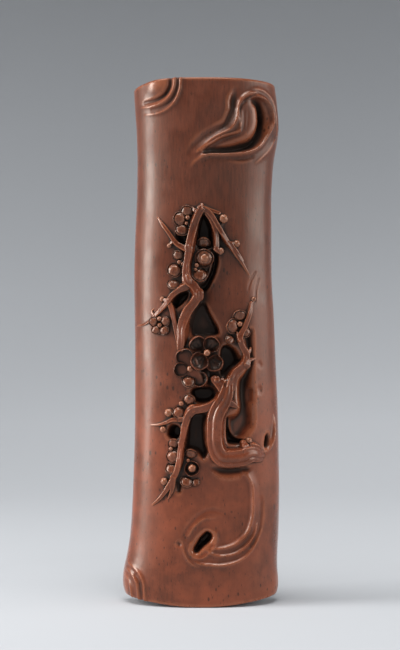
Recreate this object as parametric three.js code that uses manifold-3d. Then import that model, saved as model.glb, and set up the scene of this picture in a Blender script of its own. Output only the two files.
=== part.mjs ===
// A wrist rest of boxwood, carved from one block as a length of old plum trunk with a flowering bough.
// Sizes are in millimetres. The trunk stands on its foot end, the carved face looks along -Y, and the feet,
// the two long strips that lie on the desk in use, look along +Y. Heights are measured from the corners of
// the foot end, which is cut a little convex and so reaches below them in the middle.
import * as THREE from "three";
import { mergeVertices } from "three/addons/utils/BufferGeometryUtils.js";
import Module from "manifold-3d";

const wasm = await Module();
wasm.setup();

// Trunk
const LENGTH = 233;
const FOOT_END = -1.3; // height of the middle of the foot end
const TOP_END = FOOT_END + LENGTH;
const SQUARENESS = 2.3; // 2 gives an elliptical section, more gives fuller shoulders
const FOOT_LAND = 1.6; // straight height of the long edges above the desk
const FOOT_CHAMFER = 0.8;
const END_ROUND = 0.9;
const END_FLAT = 10; // half-width of the flat middle of each end
const CORNER_DROP = { foot: [1.7, 1.7], top: [2.4, 0.6] }; // fall of an end, left and right, DROP_SPAN further out
const DROP_SPAN = 18;
const CREST_WALL = 10.5; // thickness left under the crest by the hollow
const FOOT_WIDTH = 7;
const GRID_ACROSS = 24;
const GRID_ALONG = 36;

// Height above the foot end, half-width on the left and on the right, depth from the feet to the crest
const STATIONS = [
  [FOOT_END, 31.6, 32.6, 21.4],
  [5, 34, 34.4, 21.6],
  [12, 35, 34.7, 21.8],
  [29, 32.4, 35.1, 21.4],
  [52, 30.5, 35.4, 21],
  [90, 29.6, 34.4, 20.6],
  [125, 29.9, 33, 20.4],
  [TOP_END - 88.7, 30, 32, 20.4],
  [TOP_END - 71.7, 29.7, 31.8, 20.5],
  [TOP_END - 51.7, 28.8, 31.8, 20.6],
  [TOP_END - 36.7, 28.6, 32.8, 20.8],
  [TOP_END - 21.7, 29.1, 35, 21],
  [TOP_END - 9.7, 29.3, 34.3, 21],
  [TOP_END, 29.7, 33, 20.8],
];

// Relief
const SEAT_GAP = 0.3; // between one carved element and the next
const BOUGH_SIDES = 7;
const BUD_SIDES = 7;
const POCKET_SIDES = 9;
const BOUGH_STEP = 3; // spacing of the rings along a bough
const RIDGE_SIDES = 5;
const RIDGE_STEP = 4;
const PETAL_SIDES = 8;
const KNOB_SIDES = 6;
const CLAW_SIDES = 4;

const wood = (name, color, roughness) =>
  new THREE.MeshStandardMaterial({ name, color, roughness, metalness: 0 });
const GROUND_WOOD = wood("boxwood_ground", 0x7a3a28, 0.42);
const BOUGH_WOOD = wood("boxwood_bough", 0x8a4630, 0.36);
const BLOSSOM_WOOD = wood("boxwood_blossom", 0x84452f, 0.38);

// Values of the stations at a height, joined by a smooth curve.
function sectionAt(z) {
  const last = STATIONS.length - 1;
  const height = THREE.MathUtils.clamp(z, STATIONS[0][0], STATIONS[last][0]);
  let i = 0;
  while (i < last - 1 && height > STATIONS[i + 1][0]) i += 1;
  const [before, from, to, after] = [i - 1, i, i + 1, i + 2].map(
    (k) => STATIONS[THREE.MathUtils.clamp(k, 0, last)],
  );
  const span = to[0] - from[0];
  const u = (height - from[0]) / span;
  return [1, 2, 3].map((k) => {
    const leaving = ((to[k] - before[k]) / (to[0] - before[0])) * span;
    const arriving = ((after[k] - from[k]) / (after[0] - from[0])) * span;
    return (
      from[k] * (1 + 2 * u) * (1 - u) ** 2 +
      to[k] * u * u * (3 - 2 * u) +
      leaving * u * (1 - u) ** 2 -
      arriving * u * u * (1 - u)
    );
  });
}

// The plain trunk surface. Across the section, turn runs from -1 at the left foot to 1 at the right foot.
function plainPoint(turn, z) {
  const [left, right, crest] = sectionAt(z);
  const angle = (turn * Math.PI) / 2;
  const power = 2 / SQUARENESS;
  const across = Math.abs(Math.sin(angle)) ** power;
  const x = turn < 0 ? -left * across : right * across;
  const rise = (crest - FOOT_LAND) * Math.abs(Math.cos(angle)) ** power;
  return new THREE.Vector3(x, -FOOT_LAND - rise, z);
}

function plainNormal(turn, z) {
  const step = 0.02;
  const inside = THREE.MathUtils.clamp(turn, -1 + step, 1 - step);
  const along = plainPoint(inside, z + step).sub(plainPoint(inside, z - step));
  const across = plainPoint(inside + step, z).sub(plainPoint(inside - step, z));
  return across.cross(along).normalize();
}

function turnAt(x, z) {
  const [left, right] = sectionAt(z);
  const share = Math.min(1, Math.abs(x) / (x < 0 ? left : right));
  return (Math.sign(x) * Math.asin(share ** (SQUARENESS / 2)) * 2) / Math.PI;
}

// A point that stands over the plain surface at (x, z), seen from the front.
function over(x, z, lift) {
  const turn = turnAt(x, z);
  return plainPoint(turn, z).addScaledVector(plainNormal(turn, z), lift);
}

// The ground is lowered round the bough: x, z, half-width, half-height, depth of each soft dip.
const DIPS = [
  [5, 153, 20, 30, 2.6],
  [7, 121, 18, 26, 3.2],
  [8, 92, 19, 24, 3.4],
  [1.5, 68, 18, 22, 3],
  [7, 40, 17, 18, 1.4],
  [9, TOP_END - 21.7, 12, 13, 1.5],
];

// The two sawn-off side branches at the corners: turn, z, half-width in turns, half-height, depth of the slope.
const SCARS = [
  { turn: -0.5, z: TOP_END - 1.7, acrossTurns: 0.29, tall: 13.5, slope: 2.6 },
  { turn: -0.8, z: FOOT_END + 4.3, acrossTurns: 0.27, tall: 12, slope: 2.4 },
];

function lowered(turn, z) {
  const x = plainPoint(turn, z).x;
  let blended = 0;
  for (const [cx, cz, wide, tall, depth] of DIPS) {
    const reach = Math.hypot((x - cx) / wide, (z - cz) / tall);
    blended += (depth * (1 - THREE.MathUtils.smoothstep(reach, 0.55, 1.15))) ** 3;
  }
  let depth = Math.cbrt(blended);
  for (const scar of SCARS) {
    const reach = Math.hypot(
      (turn - scar.turn) / scar.acrossTurns,
      (z - scar.z) / scar.tall,
    );
    depth += scar.slope * (1 - THREE.MathUtils.smoothstep(reach, 0, 0.8));
  }
  return depth;
}

// Closed geometry through rings of points, each end closed by a fan to its tip.
function loft(rings, tips = [rings[0], rings.at(-1)].map(centreOf)) {
  const size = rings[0].length;
  const points = [...rings.flat(), ...tips];
  const index = [];
  for (let r = 0; r < rings.length - 1; r += 1)
    for (let k = 0; k < size; k += 1) {
      const next = (k + 1) % size;
      const [a, b, c, d] = [
        r * size + k,
        r * size + next,
        (r + 1) * size + next,
        (r + 1) * size + k,
      ];
      index.push(a, b, c, a, c, d);
    }
  const far = (rings.length - 1) * size;
  for (let k = 0; k < size; k += 1) {
    const next = (k + 1) % size;
    index.push(points.length - 2, next, k);
    index.push(points.length - 1, far + k, far + next);
  }
  const geometry = new THREE.BufferGeometry().setFromPoints(points);
  geometry.setIndex(index);
  return geometry;
}

function centreOf(ring) {
  const sum = ring.reduce((all, p) => all.add(p), new THREE.Vector3());
  return sum.divideScalar(ring.length);
}

function solidOf(geometry) {
  const bare = geometry.clone();
  bare.deleteAttribute("normal");
  bare.deleteAttribute("uv");
  const merged = mergeVertices(bare, 1e-4);
  return new wasm.Manifold(
    new wasm.Mesh({
      numProp: 3,
      vertProperties: merged.attributes.position.array,
      triVerts: new Uint32Array(merged.index.array),
    }),
  );
}

const joined = (solids) => solids.reduce((all, solid) => all.add(solid));
const cutBy = (solid, cutters) => cutters.reduce((rest, cutter) => rest.subtract(cutter), solid);

// A tapering bough through stops of [x, z, lift, radius], swelled by grow.
function boughSolid(stops, grow = 0, sides = BOUGH_SIDES, step = BOUGH_STEP) {
  const path = new THREE.CatmullRomCurve3(stops.map(([x, z, lift]) => over(x, z, lift)));
  const steps = Math.max(4, Math.round(path.getLength() / step));
  const frames = path.computeFrenetFrames(steps);
  const rings = [];
  for (let i = 0; i <= steps; i += 1) {
    const u = i / steps;
    const place = path.getUtoTmapping(u) * (stops.length - 1);
    const stop = Math.min(stops.length - 2, Math.floor(place));
    const radius = THREE.MathUtils.lerp(stops[stop][3], stops[stop + 1][3], place - stop) + grow;
    const centre = path.getPointAt(u);
    rings.push(
      Array.from({ length: sides }, (_, k) => {
        const angle = (2 * Math.PI * k) / sides;
        return centre
          .clone()
          .addScaledVector(frames.normals[i], radius * Math.cos(angle))
          .addScaledVector(frames.binormals[i], radius * Math.sin(angle));
      }),
    );
  }
  const ends = [0, steps].map((i) => {
    const radius = stops[i ? stops.length - 1 : 0][3] + grow;
    const reach = frames.tangents[i].clone().multiplyScalar(i ? 0.7 * radius : -0.7 * radius);
    return path.getPointAt(i / steps).add(reach);
  });
  return solidOf(loft(rings, ends));
}

// A turned form set on the trunk at (x, z), leaning by tilt = [to the right, upwards].
function placedSolid(geometry, x, z, lift, tilt = [0, 0]) {
  const turn = turnAt(x, z);
  const out = plainNormal(turn, z);
  const up = new THREE.Vector3(0, 0, 1).projectOnPlane(out).normalize();
  const right = up.clone().cross(out).negate();
  const facing = out.clone().addScaledVector(right, tilt[0]).addScaledVector(up, tilt[1]);
  const turnTo = new THREE.Quaternion().setFromUnitVectors(
    new THREE.Vector3(0, 1, 0),
    facing.normalize(),
  );
  const placed = geometry.clone().applyQuaternion(turnTo);
  const at = over(x, z, lift);
  return solidOf(placed.translate(at.x, at.y, at.z));
}

// A cupped petal: a shallow bowl with a rolled rim, open along +Y before it is placed.
function petalGeometry(radius, grow = 0) {
  const r = radius + grow;
  const profile = [
    [0, -0.66 * radius - grow],
    [r, 0.06 * radius],
    [0.88 * r, 0.27 * radius + grow],
    [0.62 * r, -0.06 * radius + grow],
    [0, -0.25 * radius + grow],
  ];
  return new THREE.LatheGeometry(
    profile.map(([x, y]) => new THREE.Vector2(x, y)),
    PETAL_SIDES,
  );
}

// A round form, such as a bud, squeezed to the share `plump` of its height.
function roundGeometry(radius, plump, sides) {
  return new THREE.SphereGeometry(radius, sides, sides - 2).scale(1, plump, 1);
}

// The hollow back, a smooth channel that runs out through both ends.
function hollowSolid() {
  const overrun = 2;
  const rings = [];
  const heights = [FOOT_END - overrun, ...STATIONS.map(([z]) => z), TOP_END + overrun];
  for (const z of heights) {
    const [left, right, crest] = sectionAt(z);
    const ring = [];
    for (let k = 0; k <= 16; k += 1) {
      const angle = ((k / 8 - 1) * Math.PI) / 2;
      const across = Math.abs(Math.sin(angle)) ** (2 / SQUARENESS);
      const half = (angle < 0 ? left : right) - FOOT_WIDTH;
      const rise = (crest - CREST_WALL) * Math.abs(Math.cos(angle)) ** (2 / SQUARENESS);
      ring.push(new THREE.Vector3(Math.sign(angle) * half * across, -rise, z));
    }
    ring.push(new THREE.Vector3(right - FOOT_WIDTH, overrun, z));
    ring.push(new THREE.Vector3(FOOT_WIDTH - left, overrun, z));
    rings.push(ring);
  }
  return solidOf(loft(rings));
}

// Heights of the foot end and of the top end at x. Both are flat in the middle and fall back to the long edges.
function endsAt(x) {
  const side = x < 0 ? 0 : 1;
  const fall = (Math.max(0, Math.abs(x) - END_FLAT) / DROP_SPAN) ** 2;
  return [FOOT_END + CORNER_DROP.foot[side] * fall, TOP_END - CORNER_DROP.top[side] * fall];
}

// Everything between the two ends, to cut them and to trim what runs past them.
function slabSolid() {
  const reach = 60;
  const step = 4;
  const across = [];
  for (let x = -reach; x <= reach; x += Math.abs(x + step / 2) < END_FLAT ? END_FLAT : step) across.push(x);
  const foot = across.map((x) => new THREE.Vector2(x, endsAt(x)[0]));
  const top = across.map((x) => new THREE.Vector2(x, endsAt(x)[1])).reverse();
  const outline = new THREE.Shape([...foot, ...top]);
  const slab = new THREE.ExtrudeGeometry(outline, { depth: 2 * reach, bevelEnabled: false });
  return solidOf(slab.rotateX(Math.PI / 2).translate(0, reach, 0));
}

// The blank: the trunk with its lowered ground, solid at the back. Its rows bend with the ends, and it runs
// past them to be cut there.
function blankSolid(grow = 0) {
  const overrun = 0.1;
  const heights = [FOOT_END, FOOT_END + END_ROUND];
  for (let i = 1; i < GRID_ALONG; i += 1) heights.push(FOOT_END + (LENGTH * i) / GRID_ALONG);
  heights.push(TOP_END - END_ROUND, TOP_END);
  const rings = heights.map((z, row) => {
    const inset = row === 0 || row === heights.length - 1 ? END_ROUND : 0;
    const ring = [];
    for (let k = 0; k <= GRID_ACROSS; k += 1) {
      const turn = (2 * k) / GRID_ACROSS - 1;
      const drop = grow - inset - lowered(turn, z);
      const level = plainNormal(turn, z).setZ(0).normalize();
      ring.push(plainPoint(turn, z).addScaledVector(level, drop));
    }
    const [first, last] = [ring[0], ring.at(-1)];
    ring.push(new THREE.Vector3(last.x - FOOT_CHAMFER, 0, z));
    ring.unshift(new THREE.Vector3(first.x + FOOT_CHAMFER, 0, z));
    const share = (z - FOOT_END) / LENGTH;
    const past = row === 0 ? -overrun : row === heights.length - 1 ? overrun : 0;
    for (const point of ring) {
      const [foot, top] = endsAt(point.x);
      point.z += (foot - FOOT_END) * (1 - share) + (top - TOP_END) * share + past;
    }
    return ring;
  });
  const beyond = 4;
  const tips = [centreOf(rings[0]).setZ(FOOT_END - beyond), centreOf(rings.at(-1)).setZ(TOP_END + beyond)];
  return solidOf(loft(rings, tips));
}

// Deep pockets cut beside and under the bough: x, z, half-width, half-height, depth, lean in degrees.
const POCKETS = [
  [1.5, 165, 3, 5.8, 7, 0],
  [-9, 133.8, 4.9, 3, 6.5, -35],
  [-7.5, 160.5, 2.6, 2.2, 5, 0],
  [-0.3, 125.2, 3.4, 7.6, 6, 0],
  [13.5, 109, 4.9, 8.7, 7, 0],
  [1, 92.5, 5.7, 4, 7.5, 0],
  [-12, 76, 3.5, 3.3, 6, 0],
  [-2.5, 76.5, 3.8, 8.2, 7, 0],
  [14, 76.5, 3.9, 6.6, 7, 0],
  [20, 96.5, 3, 10, 5.5, 0],
  [1, 27.4, 3, 6.2, 6, 38],
  [29.5, 69.5, 1.2, 2.8, 3, 0],
];

function pocketSolid([x, z, wide, tall, depth, lean], grow = 0) {
  const egg = new THREE.SphereGeometry(1, POCKET_SIDES, POCKET_SIDES - 3);
  egg.scale(wide - grow, depth - grow, tall - grow);
  const turn = turnAt(x, z);
  const out = plainNormal(turn, z);
  const facing = new THREE.Quaternion().setFromUnitVectors(new THREE.Vector3(0, -1, 0), out);
  egg.rotateY(THREE.MathUtils.degToRad(lean)).applyQuaternion(facing);
  const at = over(x, z, 0);
  return solidOf(egg.translate(at.x, at.y, at.z));
}

// The hollow knot near the top right, with its rolled lip. Stops are [x, z, lift, radius].
const KNOT_POCKET = [
  [1.5, TOP_END - 32.7, 0.2, 0.8],
  [5.5, TOP_END - 31.2, 0, 1.9],
  [11, TOP_END - 29.2, -0.4, 2.7],
  [17, TOP_END - 27.7, -0.8, 3.6],
  [22, TOP_END - 23.7, -1, 4.5],
  [24, TOP_END - 18.2, -1, 4.9],
  [24, TOP_END - 13.2, -0.8, 4.2],
  [22.5, TOP_END - 10.2, -0.4, 2.4],
];
const KNOT_LIP = [
  [1, TOP_END - 34.7, -0.3, 0.7],
  [5.5, TOP_END - 34.2, 0, 1],
  [11.5, TOP_END - 34.2, 0.1, 1.1],
  [18, TOP_END - 33.7, 0.1, 1.2],
  [22.5, TOP_END - 32.2, 0.2, 1.3],
  [26.5, TOP_END - 28.2, 0.2, 1.4],
  [29.5, TOP_END - 22.7, 0.2, 1.5],
  [31, TOP_END - 17.2, 0.2, 1.5],
  [29.5, TOP_END - 11.2, 0.1, 1.4],
  [26.5, TOP_END - 7.7, 0, 1.3],
  [22, TOP_END - 6.7, -0.2, 1.2],
  [18.5, TOP_END - 9.7, -0.8, 1.1],
  [16.5, TOP_END - 15.7, -1, 1],
  [14.5, TOP_END - 21.2, -1, 0.9],
  [9.5, TOP_END - 25.2, -1, 0.8],
];

// The root that falls from the bough and curls round the lower knot, and the fin at the right edge.
const ROOT_RIDGES = [
  [
    [19.6, 60, -1.6, 2.6],
    [21.6, 54.5, -1.2, 2.1],
    [22.4, 47, -1.1, 1.9],
    [22.4, 41, -1.1, 1.9],
    [21.8, 36.3, -1.1, 1.9],
    [20, 31.8, -1, 1.8],
    [16.8, 28, -1, 1.7],
    [13, 26, -1, 1.6],
    [6.5, 24.8, -1.1, 1.3],
  ],
  [
    [24, 34.5, -0.9, 1],
    [22.6, 29.8, -0.6, 1.1],
    [20, 26, -0.5, 1.2],
    [16.6, 23.2, -0.5, 1.2],
    [12.6, 21.8, -0.5, 1.2],
    [8.6, 21.4, -0.5, 1.1],
    [4.4, 22.4, -0.6, 0.9],
  ],
  [
    [26, 31, -0.9, 1],
    [23.6, 25, -0.6, 1.1],
    [20.4, 21.2, -0.5, 1.2],
    [16.8, 19, -0.5, 1.2],
    [12.6, 17.8, -0.5, 1.2],
    [6, 17.3, -0.5, 1.1],
    [-1, 18.2, -0.6, 0.9],
    [-5.6, 20.6, -0.7, 0.7],
  ],
];
const EDGE_FIN = [
  [25, 63.5, -1, 1.8],
  [28.5, 65.5, -0.4, 1.9],
  [31.3, 70, 0, 1.6],
  [32.6, 75.5, 0, 1.2],
  [33, 82, -0.4, 0.6],
];

// Two callus rings round each sawn branch, as arcs over the corner.
function scarRing(scar, share, grow) {
  const stops = [];
  const [from, to] = scar.z > LENGTH / 2 ? [200, 350] : [-6, 72];
  for (let k = 0; k <= 7; k += 1) {
    const angle = THREE.MathUtils.degToRad(from + ((to - from) * k) / 7);
    const turn = scar.turn + share * scar.acrossTurns * Math.cos(angle);
    const z = scar.z + share * scar.tall * Math.sin(angle);
    stops.push([plainPoint(turn, z).x, z, -0.25 - lowered(turn, z), 0.75]);
  }
  return boughSolid(stops, grow, RIDGE_SIDES, RIDGE_STEP);
}

function trunkSolid(grow = 0) {
  const ridges = [KNOT_LIP, ...ROOT_RIDGES, EDGE_FIN];
  const raised = ridges.map((stops) => boughSolid(stops, grow, RIDGE_SIDES, RIDGE_STEP));
  for (const scar of SCARS)
    for (const share of [1, 0.74]) raised.push(scarRing(scar, share, grow));
  const pockets = POCKETS.map((pocket) => pocketSolid(pocket, grow));
  pockets.push(boughSolid(KNOT_POCKET, -grow));
  const whole = cutBy(joined([blankSolid(grow), ...raised]), [...pockets, hollowSolid()]);
  return whole.intersect(slabSolid());
}

// The boughs and twigs, stops of [x, z, lift, radius] from thick to thin.
const BOUGHS = {
  root_bough: [
    [28.3, 64.8, -2.6, 2.6],
    [24.8, 65.3, -1.4, 3.7],
    [21.3, 66.1, -0.5, 4.5],
    [17, 64.8, 0, 4.8],
    [12.6, 64.4, 0.2, 4.8],
    [9.1, 65, 0.4, 4.7],
    [7.2, 67.9, 0.5, 4.4],
    [6.3, 72.2, 0.6, 4.2],
    [6.1, 77.4, 0.7, 4.2],
    [6.5, 81.8, 0.7, 4.4],
    [7.8, 86.1, 0.7, 4.5],
    [9.6, 89.6, 0.7, 4.2],
    [10.9, 93.1, 0.7, 3.7],
    [11.7, 96.6, 0.6, 2.9],
  ],
  right_bough: [
    [12.2, 95.7, 0.7, 2.9],
    [13.5, 99.2, 0.8, 2.7],
    [14.8, 102, 0.8, 2.3],
    [17.2, 104.2, 0.8, 2.1],
    [19.1, 106.6, 0.7, 2],
    [19.6, 110.1, 0.6, 1.8],
    [18.1, 113.7, 0.6, 1.7],
    [17.2, 117.5, 0.6, 1.6],
    [18.7, 121.4, 0.5, 1.5],
    [20.4, 125.3, 0.4, 1.4],
    [21.5, 129.2, 0.3, 1.3],
    [22.2, 132.5, 0.1, 1],
  ],
  blossom_stalk: [
    [10.9, 92.2, 0.6, 3.2],
    [8.7, 95.7, 0.7, 2.7],
    [6.1, 98.7, 0.5, 2.2],
  ],
  left_bough: [
    [7, 88.7, 0.7, 2.8],
    [3.5, 87, 0.8, 2.3],
    [0, 86.3, 0.8, 2.1],
    [-3.5, 85.7, 0.8, 2.2],
    [-5.7, 83.1, 0.7, 2.1],
    [-6.7, 79.2, 0.6, 1.9],
    [-7.6, 74.4, 0.6, 1.7],
    [-8.5, 69.2, 0.6, 1.6],
    [-9.1, 63.9, 0.6, 1.5],
    [-10.2, 59.6, 0.5, 1.5],
    [-12, 55.7, 0.4, 1.6],
    [-13.9, 52.2, 0.3, 1.4],
    [-16.3, 48.7, 0.1, 1.1],
    [-18.7, 45.9, 0, 0.9],
    [-21.3, 43.5, -0.2, 0.6],
  ],
  upper_bough: [
    [-8.7, 112.7, 0.2, 2],
    [-8, 116.6, 0.5, 2.4],
    [-7.8, 120.9, 0.7, 2.7],
    [-7.2, 125.3, 0.8, 2.7],
    [-5.7, 129.2, 0.9, 2.6],
    [-3, 132.7, 0.9, 2.4],
    [-1.7, 136.2, 0.9, 2.4],
    [-3, 139.2, 0.9, 2.4],
    [-5.2, 141.8, 0.9, 2.5],
    [-6.1, 145.3, 0.8, 2.2],
    [-5.9, 149.6, 0.8, 1.9],
    [-5.2, 153.6, 0.8, 2],
    [-4.6, 157.5, 0.8, 2.2],
    [-3.9, 161.8, 0.9, 2.1],
    [-3.3, 166.2, 0.9, 2.1],
    [-2, 170.1, 1, 2],
    [0, 173.6, 1, 2],
  ],
  loop_bough: [
    [-6.5, 140.1, 0.8, 2.2],
    [-9.6, 138.3, 0.6, 1.6],
    [-12.4, 135.7, 0.5, 1.5],
    [-14.4, 132.7, 0.4, 1.5],
    [-16.5, 130.3, 0.2, 1.3],
    [-19.1, 127.7, 0, 1.1],
    [-22.2, 124.8, -0.1, 0.9],
    [-25.2, 123.1, -0.2, 0.8],
    [-28.1, 122.4, -0.3, 0.5],
  ],
  twin_strand: [
    [-13.7, 132.2, 0.3, 1.3],
    [-12.4, 129.2, 0.4, 1.5],
    [-11.5, 125.3, 0.4, 1.5],
    [-10.7, 120.9, 0.3, 1.4],
    [-9.8, 116.6, 0.2, 1.3],
    [-9.1, 113.1, 0.1, 1.2],
  ],
  left_twig: [
    [-5.7, 155.7, 0.6, 1.8],
    [-8.3, 156.8, 0.5, 1.5],
    [-10.9, 158.8, 0.3, 1.3],
    [-13.5, 162.5, 0.2, 1.1],
    [-16.3, 166.4, 0.1, 0.9],
    [-18.9, 170.1, -0.1, 0.5],
  ],
  long_twig: [
    [0.4, 174, 0.9, 1.8],
    [3, 172.7, 0.8, 1.5],
    [5.4, 169.7, 0.7, 1.4],
    [7.6, 165.7, 0.6, 1.3],
    [10, 161.4, 0.5, 1.3],
    [13.1, 157, 0.3, 1.1],
    [16.1, 152.7, 0.1, 1],
    [18.9, 148.8, -0.1, 0.8],
    [21.3, 144.9, -0.5, 0.6],
  ],
  short_twig: [
    [2.6, 171.8, 0.5, 1.4],
    [4.4, 169.2, 0.4, 1.4],
    [5.7, 166.2, 0.3, 1.4],
    [6.5, 162.7, 0.2, 1.4],
    [6.7, 159.2, 0.1, 1.4],
    [6.7, 156.2, 0, 1.3],
  ],
  apex_twig: [
    [1.3, 174, 0.8, 1.3],
    [4.4, 172.9, 0.6, 1],
    [7.8, 171.8, 0.4, 0.9],
  ],
  spur_twig: [
    [19.6, 107, 0.6, 1.3],
    [21.5, 107.4, 0.4, 1],
    [23.7, 107.9, 0.1, 0.6],
  ],
  side_twig: [
    [-6.1, 81.8, 0.5, 1.4],
    [-9.1, 81.3, 0.4, 1.3],
    [-12.2, 81.1, 0.3, 1.1],
    [-15.2, 79.8, 0.2, 0.9],
    [-18.5, 78.9, 0.1, 0.7],
    [-21.8, 78.7, 0, 0.5],
  ],
};

// Blossoms: petals are [x, z, radius, lift] round the flower's middle, and knobs of stamens stand between them.
const BLOSSOMS = {
  blossom_large_upper: {
    middle: [2.4, 110.1],
    petals: [
      [-2, 114.4, 3.9, 0.4],
      [4.6, 114.4, 3.8, 0.4],
      [6.1, 106.1, 3.8, 0.6],
      [-0.6, 106.4, 3.9, 1.4],
    ],
    knobs: [[2.6, 110.5, 1.5, 1]],
  },
  blossom_large_lower: {
    middle: [-4.8, 103.1],
    petals: [
      [-7.4, 109.2, 4, 0.3],
      [-8.9, 103.1, 3.2, 0.6],
      [-5.7, 97.9, 2.6, 0.4],
      [-0.4, 99, 3.5, 0.6],
    ],
    knobs: [[-4.6, 103.1, 1.4, 1.2]],
  },
  blossom_top_left: {
    middle: [-6.1, 169.2],
    petals: [
      [-6.1, 172.5, 2.4, 0.2],
      [-8.9, 169.7, 3, 0.3],
      [-8.3, 164.9, 2.8, 0.2],
    ],
    knobs: [
      [-5.7, 169.9, 0.9, 0.7],
      [-6, 167.2, 0.7, 0.7],
    ],
  },
  blossom_centre: {
    middle: [1.3, 150.5],
    petals: [
      [1.5, 152, 3.8, 0.6],
      [1.1, 158.4, 2.7, -0.6],
      [-0.9, 145.1, 3.3, 0],
    ],
    knobs: [
      [1.4, 152.1, 2, 0.4],
      [-1.7, 149.2, 0.9, 0.7],
    ],
  },
  blossom_left: {
    middle: [-10.9, 149],
    petals: [
      [-10.2, 153.6, 1.9, 0],
      [-11.7, 146.8, 3.2, 0.3],
      [-12.2, 140.9, 2.3, 0],
    ],
    knobs: [[-9.6, 149.4, 0.8, 0.5]],
  },
  blossom_far_left: {
    middle: [-17.8, 123.2],
    petals: [
      [-20.3, 124.2, 2.1, 1],
      [-15.6, 124.4, 2.2, 0.9],
      [-19.3, 120.8, 2.1, 0.9],
      [-16, 120.7, 2.2, 0.8],
    ],
    knobs: [
      [-17.8, 125.6, 1.1, 1.1],
      [-17.7, 122.7, 1, 1.2],
    ],
  },
  blossom_right: {
    middle: [17, 121.8],
    petals: [
      [17, 126.6, 2.9, 0.2],
      [14.1, 122.2, 3.1, 0.4],
      [18.9, 120, 2.7, 0.6],
      [13, 116.5, 2.3, 0.1],
    ],
    knobs: [[16.8, 123.2, 1.1, 0.9]],
  },
  blossom_curl: {
    middle: [-7.4, 87.2],
    petals: [
      [-5.2, 89.8, 2.6, 0.5],
      [-9.4, 84.4, 2.8, 0.3],
    ],
    knobs: [[-8.5, 88.3, 1, 0.8]],
  },
  blossom_lower_left: {
    middle: [-12.3, 65.5],
    petals: [
      [-12.2, 70.7, 1.9, 0.1],
      [-12.2, 65.2, 2.6, 0.3],
      [-12.8, 59.6, 2.3, 0.2],
    ],
    knobs: [[-13, 68.4, 0.9, 0.6]],
  },
  blossom_lower_right: {
    middle: [-4.2, 60.4],
    petals: [
      [-3.9, 59.8, 3.4, 0.2],
      [-4.6, 65.8, 2.6, -0.8],
      [-6.3, 54.2, 2.7, -0.2],
      [-2.2, 54, 1.8, -0.3],
    ],
    knobs: [],
  },
};

// Buds: [x, z, radius, lift]
const BUDS = {
  bud_apex: [9.8, 169.4, 2.1, 0.2],
  bud_left_twig: [-13.9, 157.7, 1.1, 0],
  bud_loop: [-17, 134.2, 1.3, 0],
  bud_long_twig: [15.7, 158.6, 1.6, 0],
  bud_short_twig: [8.7, 155.4, 1.5, -0.2],
  bud_side_twig: [-14.1, 84.2, 1.9, 0.2],
  bud_hollow_rim: [-16.7, 76.9, 1.5, -0.2],
  bud_lower_bough: [-15.9, 54, 1.8, 0.2],
  bud_root_inner: [20.9, 71.6, 1.7, 0.4],
  bud_right_tip: [23.3, 134.2, 1.2, 0],
};

// Each petal narrows behind to a flat claw, and the claws meet in the calyx at the flower's middle.
function blossomSolid({ middle, petals, knobs }, grow) {
  const lean = 0.07; // how far a petal turns its face to the middle, for each millimetre away from it
  const [x0, z0] = middle;
  const parts = petals.map(([x, z, radius, lift]) =>
    placedSolid(petalGeometry(radius, grow), x, z, lift, [lean * (x0 - x), lean * (z0 - z)]),
  );
  for (const [x, z, radius, lift] of petals) {
    const claw = roundGeometry(0.55 * Math.hypot(x - x0, z - z0) + grow, 0.4, CLAW_SIDES);
    parts.push(placedSolid(claw, (x + x0) / 2, (z + z0) / 2, lift - 0.38 * radius));
  }
  const calyx = 0.6 * Math.max(...petals.map(([, , radius]) => radius));
  parts.push(placedSolid(roundGeometry(calyx + grow, 0.85, CLAW_SIDES), x0, z0, -0.5 * calyx));
  for (const [x, z, radius, lift] of knobs)
    parts.push(placedSolid(roundGeometry(radius + grow, 0.85, KNOB_SIDES), x, z, lift));
  return joined(parts);
}

const largest = (solid) =>
  solid.decompose().reduce((best, piece) => (piece.volume() > best.volume() ? piece : best));

const wristRest = new THREE.Group();
wristRest.name = "wrist_rest";
const seats = [];

// Adds one carved element, cut clear of everything it is seated on.
function carve(name, shape, material) {
  const solid = largest(cutBy(shape(0), seats));
  seats.push(shape(SEAT_GAP));
  const { vertProperties, numProp, triVerts } = solid.getMesh();
  const points = [];
  for (let i = 0; i < vertProperties.length; i += numProp)
    points.push(...vertProperties.slice(i, i + 3));
  const geometry = new THREE.BufferGeometry();
  geometry.setAttribute("position", new THREE.Float32BufferAttribute(points, 3));
  geometry.setIndex([...triVerts]);
  geometry.computeVertexNormals();
  const mesh = new THREE.Mesh(geometry, material);
  mesh.name = name;
  wristRest.add(mesh);
}

carve("trunk", trunkSolid, GROUND_WOOD);
for (const [name, stops] of Object.entries(BOUGHS))
  carve(name, (grow) => boughSolid(stops, grow), BOUGH_WOOD);
for (const [name, blossom] of Object.entries(BLOSSOMS))
  carve(name, (grow) => blossomSolid(blossom, grow), BLOSSOM_WOOD);
for (const [name, [x, z, radius, lift]] of Object.entries(BUDS))
  carve(name, (grow) => placedSolid(roundGeometry(radius + grow, 0.85, BUD_SIDES), x, z, lift), BLOSSOM_WOOD);

// The frame's origin is the middle of the foot end, under the middle of the whole carving.
const extent = new THREE.Box3().setFromObject(wristRest);
const middle = extent.getCenter(new THREE.Vector3());
wristRest.position.set(-middle.x, -middle.y, -extent.min.z);

export default wristRest;
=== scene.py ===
"""Looks of a boxwood wrist rest: half a length of old plum trunk with a flowering bough in high relief.

Until a mesh is written, lengths are in millimetres in the carving's own axes: x to the right, y towards the
desk with the two feet at y = 0, z up from the foot end.
"""

import math

import bpy
import numpy as np
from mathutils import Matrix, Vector, noise
from mathutils.bvhtree import BVHTree


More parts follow.
